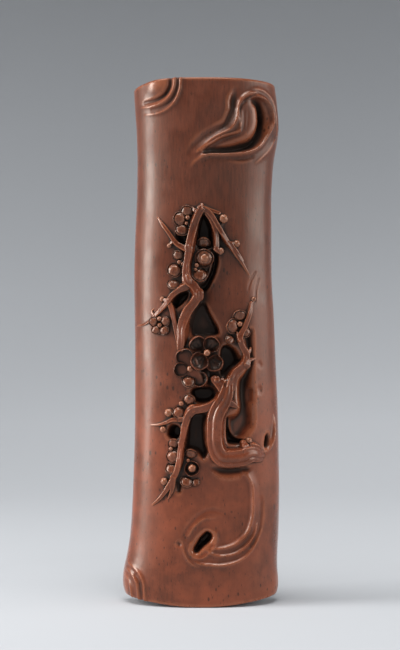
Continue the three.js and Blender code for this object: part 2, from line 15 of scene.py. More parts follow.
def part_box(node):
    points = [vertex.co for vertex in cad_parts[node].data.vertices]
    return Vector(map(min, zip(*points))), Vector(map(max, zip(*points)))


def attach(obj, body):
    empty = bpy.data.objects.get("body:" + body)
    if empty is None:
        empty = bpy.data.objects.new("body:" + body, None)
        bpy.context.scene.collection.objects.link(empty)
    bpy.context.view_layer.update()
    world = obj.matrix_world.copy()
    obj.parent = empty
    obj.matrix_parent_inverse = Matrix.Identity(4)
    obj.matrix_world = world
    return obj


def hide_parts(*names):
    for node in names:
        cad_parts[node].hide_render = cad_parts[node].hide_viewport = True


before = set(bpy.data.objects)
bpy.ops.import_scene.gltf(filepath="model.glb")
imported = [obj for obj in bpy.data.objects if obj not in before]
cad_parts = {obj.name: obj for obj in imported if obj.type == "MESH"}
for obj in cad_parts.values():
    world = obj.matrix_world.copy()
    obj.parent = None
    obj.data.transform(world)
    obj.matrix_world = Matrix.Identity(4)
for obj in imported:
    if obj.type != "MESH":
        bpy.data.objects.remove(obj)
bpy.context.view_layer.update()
MM = 0.001

# The trunk is one half-round length of boxwood, hollowed behind with a long gouge and polished in
# front. Its section is a full-shouldered arch that swells and narrows along the trunk. All that is
# carved on it is placed by how far right, how high and how far above this plain surface it lies.
STATIONS = np.array([
    # height, half-width on the left and on the right, depth from the feet to the crest
    [-1.3, 32.6, 33.0, 21.4],
    [5, 34.8, 34.7, 21.6],
    [9, 35.1, 34.8, 21.7],
    [13, 34.7, 34.5, 21.8],
    [21, 33.1, 34.5, 21.6],
    [29, 31.9, 34.9, 21.4],
    [52, 30.5, 35.4, 21.0],
    [90, 29.6, 34.4, 20.6],
    [125, 29.9, 33.0, 20.4],
    [143, 30.0, 32.0, 20.4],
    [160, 29.7, 31.8, 20.5],
    [180, 28.8, 31.8, 20.6],
    [195, 28.6, 32.8, 20.8],
    [210, 29.1, 35.0, 21.0],
    [222, 29.8, 34.3, 21.0],
    [231.7, 30.2, 33.0, 20.8],
])
FOOT_END, TOP_END = STATIONS[0, 0], STATIONS[-1, 0]
SQUARENESS = 2.3
FOOT_LAND = 1.6


def section(z):
    """Half-widths left and right and crest depth at height z, on a smooth curve through the stations."""
    stops = STATIONS[:, 0]
    last = len(stops) - 1
    z = np.clip(z, stops[0], stops[-1])
    i = np.clip(np.searchsorted(stops, z, side="right") - 1, 0, last - 1)
    before, start, end, after = (STATIONS[np.clip(i + k, 0, last)] for k in (-1, 0, 1, 2))
    span = (end - start)[..., :1]
    u = (z[..., None] - start[..., :1]) / span
    leaving = (end - before) / (end - before)[..., :1] * span
    arriving = (after - start) / (after - start)[..., :1] * span
    curve = start * (1 + 2 * u) * (1 - u) ** 2 + end * u * u * (3 - 2 * u)
    curve += leaving * u * (1 - u) ** 2 - arriving * u * u * (1 - u)
    return np.moveaxis(curve[..., 1:], -1, 0)


def plain(turn, z):
    """Points of the plain front, where turn runs from -1 at the left foot to 1 at the right foot."""
    left, right, crest = section(z)
    power = 2 / SQUARENESS
    x = np.where(turn < 0, -left, right) * np.abs(np.sin(turn * math.pi / 2)) ** power
    rise = (crest - FOOT_LAND) * np.abs(np.cos(turn * math.pi / 2)) ** power
    return np.stack([x, -FOOT_LAND - rise, z], axis=-1)


def outward(turn, z):
    """Level outward direction of the plain front."""
    step = 0.01
    turn = np.clip(turn, step - 1, 1 - step)
    along = plain(turn + step, z) - plain(turn - step, z)
    level = np.stack([along[..., 1], -along[..., 0], np.zeros_like(z)], axis=-1)
    return level / np.linalg.norm(level, axis=-1, keepdims=True)


def turn_at(x, z):
    """The turn at which the plain front lies x to the right of the middle."""
    left, right, _ = section(z)
    share = np.clip(np.abs(x) / np.where(x < 0, left, right), 0, 1)
    return np.sign(x) * np.arcsin(share ** (SQUARENESS / 2)) * 2 / math.pi


def over(x, z, lift):
    """Points that stand lift above the plain front at (x, z)."""
    turn = turn_at(x, z)
    return plain(turn, z) + outward(turn, z) * np.asarray(lift)[..., None]


FINE_POINTS = 4001


def spaced(stops):
    """Places whose spacing changes evenly through stops of [place, spacing]."""
    places, spacings = np.array(stops, float).T
    fine = np.linspace(places[0], places[-1], FINE_POINTS)
    counted = np.concatenate([[0], (np.diff(fine) / np.interp(fine[1:], places, spacings)).cumsum()])
    return np.interp(np.linspace(0, counted[-1], round(counted[-1]) + 1), counted, fine)


# The front is carved on a net of points, closest where the finest edges lie. Distances along its
# surface are measured from the crest line, and a row closes with a quarter round at either end of the
# trunk.
END_ROUND = 0.9
END_RINGS = 6
SIDE_STRIP = 9
fine_turns = np.linspace(-1, 1, FINE_POINTS)
mid_arch = plain(fine_turns, np.full(fine_turns.shape, (FOOT_END + TOP_END) / 2))
girth = np.concatenate([[0], np.linalg.norm(np.diff(mid_arch, axis=0), axis=1).cumsum()])
columns = spaced([[0, 1.0], [SIDE_STRIP, 0.46], [girth[-1] - SIDE_STRIP, 0.44], [girth[-1], 1.0]])
turns = np.interp(columns, girth, fine_turns)
end_rows = END_ROUND * (1 - np.cos(np.linspace(0, math.pi / 2, END_RINGS)))
middle_rows = spaced([
    [FOOT_END + END_ROUND, 0.62], [13, 0.62], [16, 0.45], [34, 0.45], [38, 0.66], [54, 0.66], [60, 0.56],
    [176, 0.56], [180, 0.85], [190, 0.85], [195, 0.44], [227, 0.44], [TOP_END - END_ROUND, 0.6],
])[1:-1]
heights = np.concatenate([FOOT_END + end_rows, middle_rows, TOP_END - end_rows[::-1]])
TURN, HEIGHT = np.meshgrid(turns, heights)
plain_front = plain(TURN, HEIGHT)
steps_across = np.linalg.norm(np.diff(plain_front, axis=1), axis=2)
ACROSS = np.concatenate([np.zeros((len(heights), 1)), steps_across.cumsum(axis=1)], axis=1)
ACROSS -= ACROSS[:, [np.abs(turns).argmin()]]


def across_at(x, z):
    """Distance along the surface from the crest line to (x, z)."""
    rows = np.clip(np.searchsorted(heights, z), 0, len(heights) - 1)
    return np.array([np.interp(t, turns, ACROSS[row]) for t, row in zip(turn_at(x, z), rows)])


def near(s, z, reach):
    """The window of the net within reach of a place. The net's columns slant, so it is 1 mm wider."""
    low, high = np.searchsorted(heights, (z - reach, z + reach))
    row = ACROSS[min(low, len(heights) - 1)]
    first, past = np.searchsorted(row, (s - reach - 1, s + reach + 1))
    return slice(low, high), slice(first, past)


def curve_through(stops, spacing=0.3, closed=False):
    """Closely spaced points of a smooth line through its stops, whose first two values are x and z."""
    stops = np.array(stops, float)
    if closed:
        padded = np.vstack([stops[-1:], stops, stops[:2]])
    else:
        padded = np.vstack([2 * stops[0] - stops[1], stops, 2 * stops[-1] - stops[-2]])
    runs = []
    for a, b, c, d in zip(padded, padded[1:], padded[2:], padded[3:]):
        count = max(2, int(np.hypot(*(c - b)[:2]) / spacing))
        u = np.linspace(0, 1, count, endpoint=False)[:, None]
        bend = (a - 2.5 * b + 2 * c - d / 2) * u**2 + (1.5 * (b - c) + (d - a) / 2) * u**3
        runs.append(b + (c - a) * u / 2 + bend)
    return np.vstack(runs if closed else runs + [stops[-1:]])


def eased(low, high, value):
    """0 up to low, 1 from high on, and a smooth rise between them."""
    u = np.clip((value - low) / (high - low), 0, 1)
    return u * u * (3 - 2 * u)


def higher(a, b, soft):
    """The higher of two surfaces, with a fillet where they meet."""
    share = np.clip(0.5 + 0.5 * (b - a) / soft, 0, 1)
    return a * (1 - share) + b * share + soft * share * (1 - share)


# A fold dies away between two multiples of its width. A crisp one drops from its edge at a rate and power.
FOLD_FADE = 1.8
FOLD_END = 2.6
CRISP_RATE = 1.1
CRISP_POWER = 1.25
LEAST_WIDTH = 0.05


def fold(stops, gentle, crisp):
    """Height of a fold of wood along stops of [x, z, height, width]. Seen along the line, it falls over its
    width on the right-hand side and over `gentle` times that on the left. A crisp fold comes to an edge."""
    field = np.zeros_like(TURN)
    line = curve_through(stops)
    place = np.column_stack([across_at(line[:, 0], line[:, 1]), line[:, 1]])
    heading = np.gradient(place, axis=0)
    heading /= np.linalg.norm(heading, axis=1, keepdims=True)
    for (s, z), (hs, hz), height, width in zip(place, heading, line[:, 2], line[:, 3]):
        window = near(s, z, FOLD_END * width * max(gentle, 1))
        ds, dz = ACROSS[window] - s, HEIGHT[window] - z
        reach = np.where(hs * dz - hz * ds > 0, gentle, 1.0) * width
        share = np.hypot(ds, dz) / np.maximum(reach, LEAST_WIDTH)
        profile = np.exp(-CRISP_RATE * share**CRISP_POWER) if crisp else np.exp(-share * share)
        shape = height * profile * eased(FOLD_END, FOLD_FADE, share)
        field[window] = np.where(np.abs(shape) > np.abs(field[window]), shape, field[window])
    return field


FARTHEST = 9.0


def inside(outline):
    """Distance inside a closed outline of [x, z] stops, negative outside it and measured up to FARTHEST."""
    line = curve_through(outline, closed=True)
    place = np.column_stack([across_at(line[:, 0], line[:, 1]), line[:, 1]])
    nearest = np.full(TURN.shape, FARTHEST)
    within = np.zeros(TURN.shape, dtype=bool)
    for (s0, z0), (s1, z1) in zip(place, np.roll(place, -1, axis=0)):
        window = near(s0, z0, FARTHEST)
        distance = np.hypot(ACROSS[window] - s0, HEIGHT[window] - z0)
        nearest[window] = np.minimum(nearest[window], distance)
        crossed = np.flatnonzero((heights > min(z0, z1)) & (heights <= max(z0, z1)))
        for r in crossed:
            share = (heights[r] - z0) / (z1 - z0)
            within[r] ^= ACROSS[r] < s0 + share * (s1 - s0)
    return np.where(within, nearest, -nearest)


def oval(x, z, patch, fall):
    """1 in the middle of a patch [x, z, half-width, half-height], falling to 0 between two shares of it."""
    at_x, at_z, wide, tall = patch
    return 1 - eased(*fall, np.hypot((x - at_x) / wide, (z - at_z) / tall))


# A broad valley is cut down the right of the bough. It falls steeply beside the bough, over a share of
# its breadth, and rises slowly to the right.
VALLEY_WALL = 0.25
VALLEY_END = 1.05
VALLEY = np.array([
    # height, left edge, right edge, depth at the left
    [170, 12.0, 16.0, 0.0],
    [163, 8.5, 15.5, 1.0],
    [154, 5.5, 18.5, 3.0],
    [145, 2.5, 21.3, 4.2],
    [134, 0.0, 23.2, 5.2],
    [123, -3.0, 23.6, 5.8],
    [114, 0.5, 23.8, 5.4],
    [106, 3.0, 24.0, 4.4],
    [96, 6.0, 24.0, 2.5],
    [86, 8.0, 24.0, 0.0],
])
ground = np.zeros_like(TURN)
left_edge, right_edge, valley_depth = (
    np.interp(heights, VALLEY[::-1, 0], VALLEY[::-1, k])[:, None] for k in (1, 2, 3)
)
share = (plain_front[..., 0] - left_edge) / (right_edge - left_edge)
ramp = np.where(share < 0, eased(-VALLEY_WALL, 0, share), 1 - eased(-VALLEY_WALL, VALLEY_END, share))
ground -= valley_depth * ramp

# Wood was pared away round the whole bough, in shallow dips: x, z, half-width, half-height, depth
DIPS = [
    [-3, 149, 13, 34, 0.9],
    [-5, 70, 15, 34, 1.1],
    [9, 40, 13, 22, 0.9],
    [8, 209, 10, 12, 1.0],
]
DIP_FALL = (0.3, 1.3)
for *patch, depth in DIPS:
    ground -= depth * oval(plain_front[..., 0], HEIGHT, patch, DIP_FALL)

# Pockets cut in steeply beside and under the bough: depth, width of the wall, outline of [x, z]. None
# comes through to the hollow behind.
CREST_WALL = 10.5
LEAST_WALL = 2.5
POCKETS = {
    "under the arch": (7.5, 1.5, [
        [1.5, 171.6], [3.6, 169.4], [4.9, 165.4], [5.3, 161], [4.6, 156.6], [-1.3, 156.6], [-1.9, 162],
        [-1.5, 166], [-0.4, 170],
    ]),
    "behind the left twig": (4.5, 1.6, [
        [-10.9, 163.6], [-6.1, 163.8], [-5.6, 160], [-6.1, 157.3], [-8.7, 158], [-11, 161],
    ]),
    "in the loop": (7.5, 1.7, [
        [-6.3, 137.8], [-5.2, 136.6], [-6.1, 134], [-8.7, 131.4], [-11.3, 129.7], [-13, 130.4],
        [-13, 132.7], [-11.3, 135.7], [-8.7, 137.4],
    ]),
    "beside the stem": (7.5, 2.6, [
        [-0.9, 131.8], [1.9, 132.6], [4, 129], [6.4, 125], [8.4, 121.4], [8.2, 118.2], [2.6, 117.4],
        [-3.9, 117.8], [-4.8, 121.8], [-3.9, 126.1],
    ]),
    "right of the middle blossom": (6.0, 2.2, [
        [4.9, 157.4], [7.2, 155.4], [8.2, 151], [7.4, 146.4], [5.4, 142], [3, 138.4], [0, 137.4],
        [-2.6, 140.6], [1, 141.4], [3.8, 146], [5.2, 151.6],
    ]),
    "right of the blossoms": (8.0, 2.0, [
        [8.7, 101], [8.3, 107.8], [9.1, 112.6], [11.7, 114.4], [15.2, 113], [17.4, 110], [18.2, 107],
        [17, 104], [13.5, 101.9], [10.4, 100],
    ]),
    "under the blossoms": (8.0, 2.0, [
        [-4.8, 94], [-2.2, 95.8], [3.9, 96.2], [6.5, 94.4], [7, 91.8], [5.2, 89.1], [1.7, 88.3],
        [-2.2, 88.7], [-4.4, 91],
    ]),
    "round hole": (7.0, 1.6, [
        [-15.2, 76.6], [-13.9, 78.7], [-11.3, 79.2], [-9.1, 77.4], [-9.1, 74.4], [-10.9, 72.2],
        [-13.5, 72.6], [-15.2, 74.4],
    ]),
    "left of the root": (5.2, 2.0, [
        [-6.1, 83.5], [2.2, 84.4], [2.2, 77.4], [2.6, 71.3], [3.5, 66.6], [1.3, 63.5], [-2.2, 66.6],
        [-5.7, 67.4], [-7.4, 68.7], [-7, 74.8],
    ]),
    "right of the root": (4.6, 4.5, [
        [18.7, 118.8], [23.3, 121], [23.9, 108], [23.9, 90.5], [24.3, 79.6], [22.2, 74.8], [18.3, 70.5],
        [11.7, 70], [10.4, 75.3], [10.9, 82.6], [15.2, 85.7], [15.2, 92.7], [16.1, 99.2], [20.4, 105.3],
        [19.6, 112.2],
    ]),
    "right of the root, deep": (7.6, 2.0, [
        [10.9, 81.8], [12.6, 82.6], [13.5, 77.4], [16.1, 73.9], [19.5, 72.6], [18, 70], [12.2, 70],
        [10.7, 73.9],
    ]),
    "old knot": (6.5, 2.4, [
        [2.2, 32.6], [4.8, 31.8], [5.7, 29.6], [4.4, 27], [1.3, 24.4], [-1.3, 22.2], [-3.5, 22.6],
        [-3.9, 24.8], [-2.6, 27.4], [-0.9, 30],
    ]),
    "behind the edge fin": (3.2, 1.3, [[28.3, 73], [29.6, 75], [30.7, 72.6], [30, 68.7], [28, 68.6]]),
}
cut = np.zeros_like(TURN)
for depth, wall, outline in POCKETS.values():
    cut = np.maximum(cut, depth * eased(0, wall, inside(outline)))

# The boughs and twigs are lines of [x, z, lift, radius] from thick to thin
BOUGHS = {
    "root_bough": [
        [28.3, 64.8, -2.6, 2.6], [24.8, 65.3, -1.4, 3.7], [21.3, 66.1, -0.5, 4.5], [17, 64.8, 0.0, 4.8],
        [12.6, 64.4, 0.2, 4.8], [9.1, 65, 0.4, 4.7], [7.2, 67.9, 0.5, 4.4], [6.3, 72.2, 0.6, 4.2],
        [6.1, 77.4, 0.7, 4.2], [6.5, 81.8, 0.7, 4.4], [7.8, 86.1, 0.7, 4.5], [9.6, 89.6, 0.7, 4.2],
        [10.9, 93.1, 0.7, 3.7], [11.7, 96.6, 0.6, 2.9],
    ],
    "right_bough": [
        [12.2, 95.7, 0.7, 2.9], [13.5, 99.2, 0.8, 2.7], [14.8, 102, 0.8, 2.3], [17.2, 104.2, 0.8, 2.1],
        [19.1, 106.6, 0.7, 2.0], [19.6, 110.1, 0.6, 1.8], [18.1, 113.7, 0.6, 1.7],
        [17.2, 117.5, 0.6, 1.6], [18.7, 121.4, 0.5, 1.5], [20.4, 125.3, 0.4, 1.4],
        [21.5, 129.2, 0.3, 1.3], [22.2, 132.5, 0.1, 1.0],
    ],
    "blossom_stalk": [[10.9, 92.2, 0.6, 3.2], [8.7, 95.7, 0.7, 2.7], [6.1, 98.7, 0.5, 2.2]],
    "left_bough": [
        [7, 88.7, 0.7, 2.8], [3.5, 87, 0.8, 2.3], [0, 86.3, 0.8, 2.1], [-3.5, 85.7, 0.8, 2.2],
        [-5.7, 83.1, 0.7, 2.1], [-6.7, 79.2, 0.6, 1.9], [-7.6, 74.4, 0.6, 1.7], [-8.5, 69.2, 0.6, 1.6],
        [-9.1, 63.9, 0.6, 1.5], [-10.2, 59.6, 0.5, 1.5], [-12, 55.7, 0.4, 1.6], [-13.9, 52.2, 0.3, 1.4],
        [-16.3, 48.7, 0.1, 1.1], [-18.7, 45.9, 0.0, 0.9], [-21.3, 43.5, -0.2, 0.6],
    ],
    "upper_bough": [
        [-8.7, 112.7, 0.2, 2.0], [-8, 116.6, 0.5, 2.4], [-7.8, 120.9, 0.7, 2.7], [-7.2, 125.3, 0.8, 2.7],
        [-5.7, 129.2, 0.9, 2.6], [-3, 132.7, 0.9, 2.4], [-1.7, 136.2, 0.9, 2.4], [-3, 139.2, 0.9, 2.4],
        [-5.2, 141.8, 0.9, 2.5], [-6.1, 145.3, 0.8, 2.2], [-5.9, 149.6, 0.8, 1.9],
        [-5.2, 153.6, 0.8, 2.0], [-4.6, 157.5, 0.8, 2.2], [-3.9, 161.8, 0.9, 2.1],
        [-3.3, 166.2, 0.9, 2.1], [-2, 170.1, 1.0, 2.0], [0, 173.6, 1.0, 2.0],
    ],
    "loop_bough": [
        [-6.5, 140.1, 0.8, 2.2], [-9.6, 138.3, 0.6, 1.6], [-12.4, 135.7, 0.5, 1.5],
        [-14.4, 132.7, 0.4, 1.5], [-16.5, 130.3, 0.2, 1.3], [-19.1, 127.7, 0.0, 1.1],
        [-22.2, 124.8, -0.1, 0.9], [-25.2, 123.1, -0.2, 0.8], [-28.1, 122.4, -0.3, 0.5],
    ],
    "twin_strand": [
        [-13.7, 132.2, 0.3, 1.3], [-12.4, 129.2, 0.4, 1.5], [-11.5, 125.3, 0.4, 1.5],
        [-10.7, 120.9, 0.3, 1.4], [-9.8, 116.6, 0.2, 1.3], [-9.1, 113.1, 0.1, 1.2],
    ],
    "left_twig": [
        [-5.7, 155.7, 0.6, 1.8], [-8.3, 156.8, 0.5, 1.5], [-10.9, 158.8, 0.3, 1.3],
        [-13.5, 162.5, 0.2, 1.1], [-16.3, 166.4, 0.1, 0.9], [-18.9, 170.1, -0.1, 0.5],
    ],
    "long_twig": [
        [0.4, 174, 0.9, 1.8], [3, 172.7, 0.8, 1.5], [5.4, 169.7, 0.7, 1.4], [7.6, 165.7, 0.6, 1.3],
        [10, 161.4, 0.5, 1.3], [13.1, 157, 0.3, 1.1], [16.1, 152.7, 0.1, 1.0], [18.9, 148.8, -0.1, 0.8],
        [21.3, 144.9, -0.5, 0.6],
    ],
    "short_twig": [
        [2.6, 171.8, 0.5, 1.4], [4.4, 169.2, 0.4, 1.4], [5.7, 166.2, 0.3, 1.4], [6.5, 162.7, 0.2, 1.4],
        [6.7, 159.2, 0.1, 1.4], [6.7, 156.2, 0.0, 1.3],
    ],
    "apex_twig": [[1.3, 174, 0.8, 1.3], [4.4, 172.9, 0.6, 1.0], [7.8, 171.8, 0.4, 0.9]],
    "spur_twig": [[19.6, 107, 0.6, 1.3], [21.5, 107.4, 0.4, 1.0], [23.7, 107.9, 0.1, 0.6]],
    "side_twig": [
        [-6.1, 81.8, 0.5, 1.4], [-9.1, 81.3, 0.4, 1.3], [-12.2, 81.1, 0.3, 1.1], [-15.2, 79.8, 0.2, 0.9],
        [-18.5, 78.9, 0.1, 0.7], [-21.8, 78.7, 0.0, 0.5],
    ],
}
# Blossoms: the middle, the petals and the knobs of stamens as [x, z, radius, lift]
BLOSSOMS = {
    "blossom_large_upper": (
        [2.4, 110.1],
        [[-1.6, 114.4, 3.9, 0.4], [4.7, 114.4, 3.8, 0.5], [6.1, 105.9, 3.9, 0.6], [-0.8, 106.8, 4.1, 1.4]],
        [[2.6, 110.6, 1.5, 1.6]],
    ),
    "blossom_large_lower": (
        [-4.8, 103.1],
        [[-7.2, 109.2, 4.0, 0.3], [-8.9, 103.1, 3.3, 0.6], [-5.3, 98.1, 2.8, 0.4], [-0.2, 98.8, 3.5, 0.6]],
        [[-4.6, 103.6, 1.4, 1.6]],
    ),
    "blossom_top_left": (
        [-6.1, 169.2],
        [[-6.1, 172.5, 2.7, 0.2], [-8.9, 169.3, 3.1, 0.4], [-8.1, 164.9, 3.0, 0.2]],
        [[-5.7, 169.9, 1.0, 1.0], [-6.2, 167.4, 0.8, 1.0]],
    ),
    "blossom_centre": (
        [1.3, 150.5],
        [[1.4, 152, 3.8, 0.6], [1.2, 158.6, 2.8, -0.6], [-0.6, 145.1, 3.4, 0.0]],
        [[1.5, 152.2, 2.1, 0.7], [-1.9, 149.0, 1.0, 0.9], [-2.4, 147.2, 0.8, 0.9]],
    ),
    "blossom_left": (
        [-10.9, 149],
        [[-10.0, 153.2, 2.4, 0.0], [-11.5, 147.0, 3.1, 0.3], [-11.9, 141.0, 2.8, 0.0]],
        [[-9.4, 150.4, 0.9, 0.8], [-7.9, 149.6, 0.8, 0.9]],
    ),
    "blossom_far_left": (
        [-17.8, 123.2],
        [
            [-20.3, 124.2, 2.1, 1], [-15.6, 124.4, 2.2, 0.9], [-19.3, 120.8, 2.1, 0.9],
            [-16, 120.7, 2.2, 0.8],
        ],
        [[-17.8, 125.6, 1.1, 1.1], [-17.7, 122.7, 1, 1.2]],
    ),
    "blossom_right": (
        [17, 121.8],
        [[17, 126.6, 2.9, 0.2], [14.1, 122.2, 3.1, 0.4], [18.9, 120, 2.7, 0.6], [13, 116.5, 2.3, 0.1]],
        [[16.8, 123.2, 1.2, 1.2]],
    ),
    "blossom_curl": (
        [-7.4, 87.2],
        [[-5.2, 89.8, 2.6, 0.5], [-9.4, 84.4, 2.8, 0.3]],
        [[-8.5, 88.3, 1.1, 1.0]],
    ),
    "blossom_lower_left": (
        [-12.3, 65.5],
        [[-12.0, 70.5, 2.4, 0.1], [-12.2, 65.2, 2.9, 0.3], [-12.8, 59.8, 2.6, 0.2]],
        [[-13, 68.4, 0.9, 0.8]],
    ),
    "blossom_lower_right": (
        [-4.2, 60.4],
        [[-3.9, 59.8, 3.4, 0.2], [-4.6, 65.8, 2.6, -0.8], [-6.3, 54.2, 2.7, -0.2], [-2.2, 54, 1.8, -0.3]],
        [[-3.8, 60.0, 1.7, 0.9], [-5.6, 63.4, 0.8, 0.4]],
    ),
}
# Buds: [x, z, radius, lift]
BUDS = {
    "bud_apex": [9.8, 169.4, 2.1, 0.2],
    "bud_left_twig": [-13.9, 157.7, 1.1, 0.0],
    "bud_loop": [-17, 134.2, 1.3, 0.0],
    "bud_long_twig": [15.7, 158.6, 1.6, 0.0],
    "bud_short_twig": [8.7, 155.4, 1.5, -0.2],
    "bud_side_twig": [-14.1, 84.2, 1.9, 0.2],
    "bud_hollow_rim": [-16.7, 76.9, 1.5, -0.2],
    "bud_lower_bough": [-15.9, 54.0, 1.8, 0.2],
    "bud_root_inner": [20.9, 71.6, 1.7, 0.4],
    "bud_right_tip": [23.3, 134.2, 1.2, 0.0],
}
# A seat of wood is left standing under each of them: how far it lies below and how wide it is, in radii
BOUGH_SEAT = (0.35, 0.9)
PETAL_SEAT = (0.7, 0.8)
BUD_SEAT = (0.5, 0.8)
SEAT_STEP = 0.6
SEAT_FALL = 0.6
SEAT_FILLET = 0.8
NO_SEAT = -99.0
seats = []
for stops in BOUGHS.values():
    seats += [(x, z, r, lift, BOUGH_SEAT) for x, z, lift, r in curve_through(stops, SEAT_STEP)]
for _, petals, _ in BLOSSOMS.values():
    seats += [(*form, PETAL_SEAT) for form in petals]
seats += [(*form, BUD_SEAT) for form in BUDS.values()]
standing = np.full(TURN.shape, NO_SEAT)
seats_across = across_at(np.array([seat[0] for seat in seats]), np.array([seat[1] for seat in seats]))
for (x, z, radius, lift, (below, width)), s in zip(seats, seats_across):
    window = near(s, z, width * radius)
    share = np.hypot(ACROSS[window] - s, HEIGHT[window] - z) / (width * radius)
    seat = np.where(share < 1, lift - below * radius - SEAT_FALL * share**4, NO_SEAT)
    standing[window] = np.maximum(standing[window], seat)
ground = np.maximum(ground - cut, LEAST_WALL - CREST_WALL)
ground = higher(ground, standing, SEAT_FILLET)

# The undercut below the bend of the root, and small cuts elsewhere: stops of [x, z, height, width]
UNDERCUT = [[20, 59.8, -1.2, 0.8], [15, 58.9, -2.2, 0.9], [10, 58.9, -2.0, 0.9], [6.5, 60, -0.8, 0.8]]
ground += fold(UNDERCUT, 2.0, False)
CUTS = [
    [[-9.8, 53.5, -1.4, 1.0], [-10, 50, -1.2, 0.8]],
    [[22.6, 93.8, -1.2, 1.2], [22.6, 89.6, -1.2, 1.2]],
    [[26.1, 105.9, -0.35, 0.8], [26.5, 104.8, -0.35, 0.8]],
    [[26.1, 94.8, -0.35, 0.9], [26.3, 93.4, -0.35, 0.9]],
    [[-9.7, 26.8, -0.8, 0.7], [-9.5, 26.3, -0.8, 0.7]],
    [[24.2, 146, -0.25, 0.4], [22.0, 142, -0.3, 0.4], [21.0, 138.6, -0.2, 0.4]],
    [[25.8, 143, -0.25, 0.4], [24.4, 138, -0.3, 0.4], [24.2, 133, -0.25, 0.4]],
]
for stops in CUTS:
    ground += fold(stops, 1.0, False)

# An old knot at the top right opens like an ear. Its floor falls to a deep run close under a crisp lip.
KNOT_DEPTH = 1.0
KNOT_WALL = 0.6
KNOT_EDGE = [
    [1.7, 197.5], [5.2, 197.9], [11, 198], [17, 198.4], [21.3, 199.3], [25, 201.5], [27.9, 205],
    [30.2, 208.9], [31.6, 213.3], [31.2, 217.7], [29.8, 221.2], [27.8, 223.3], [24.3, 224], [20.2, 222.2],
    [18.3, 220.4], [17, 217.9], [17.3, 214], [17.5, 210.5], [17.2, 207.8], [13, 206.6], [9, 205.2],
    [5.4, 203], [2.2, 201], [0.6, 199.2],
]
KNOT_RUN = [
    [3.4, 199.1, -0.8, 0.6], [8, 199.3, -2.0, 0.8], [13, 199.6, -3.2, 0.9], [18.6, 200.7, -4.6, 1.0],
    [23.8, 202.6, -4.8, 1.1], [27.3, 206.4, -5.4, 1.2], [28.9, 211.5, -6.2, 1.2],
    [28.8, 216.5, -5.8, 1.2], [27.3, 220.5, -4.0, 1.0], [24.6, 222.3, -1.6, 0.8],
]
ground -= KNOT_DEPTH * eased(0, KNOT_WALL, inside(KNOT_EDGE))
ground += fold(KNOT_RUN, 2.4, False)
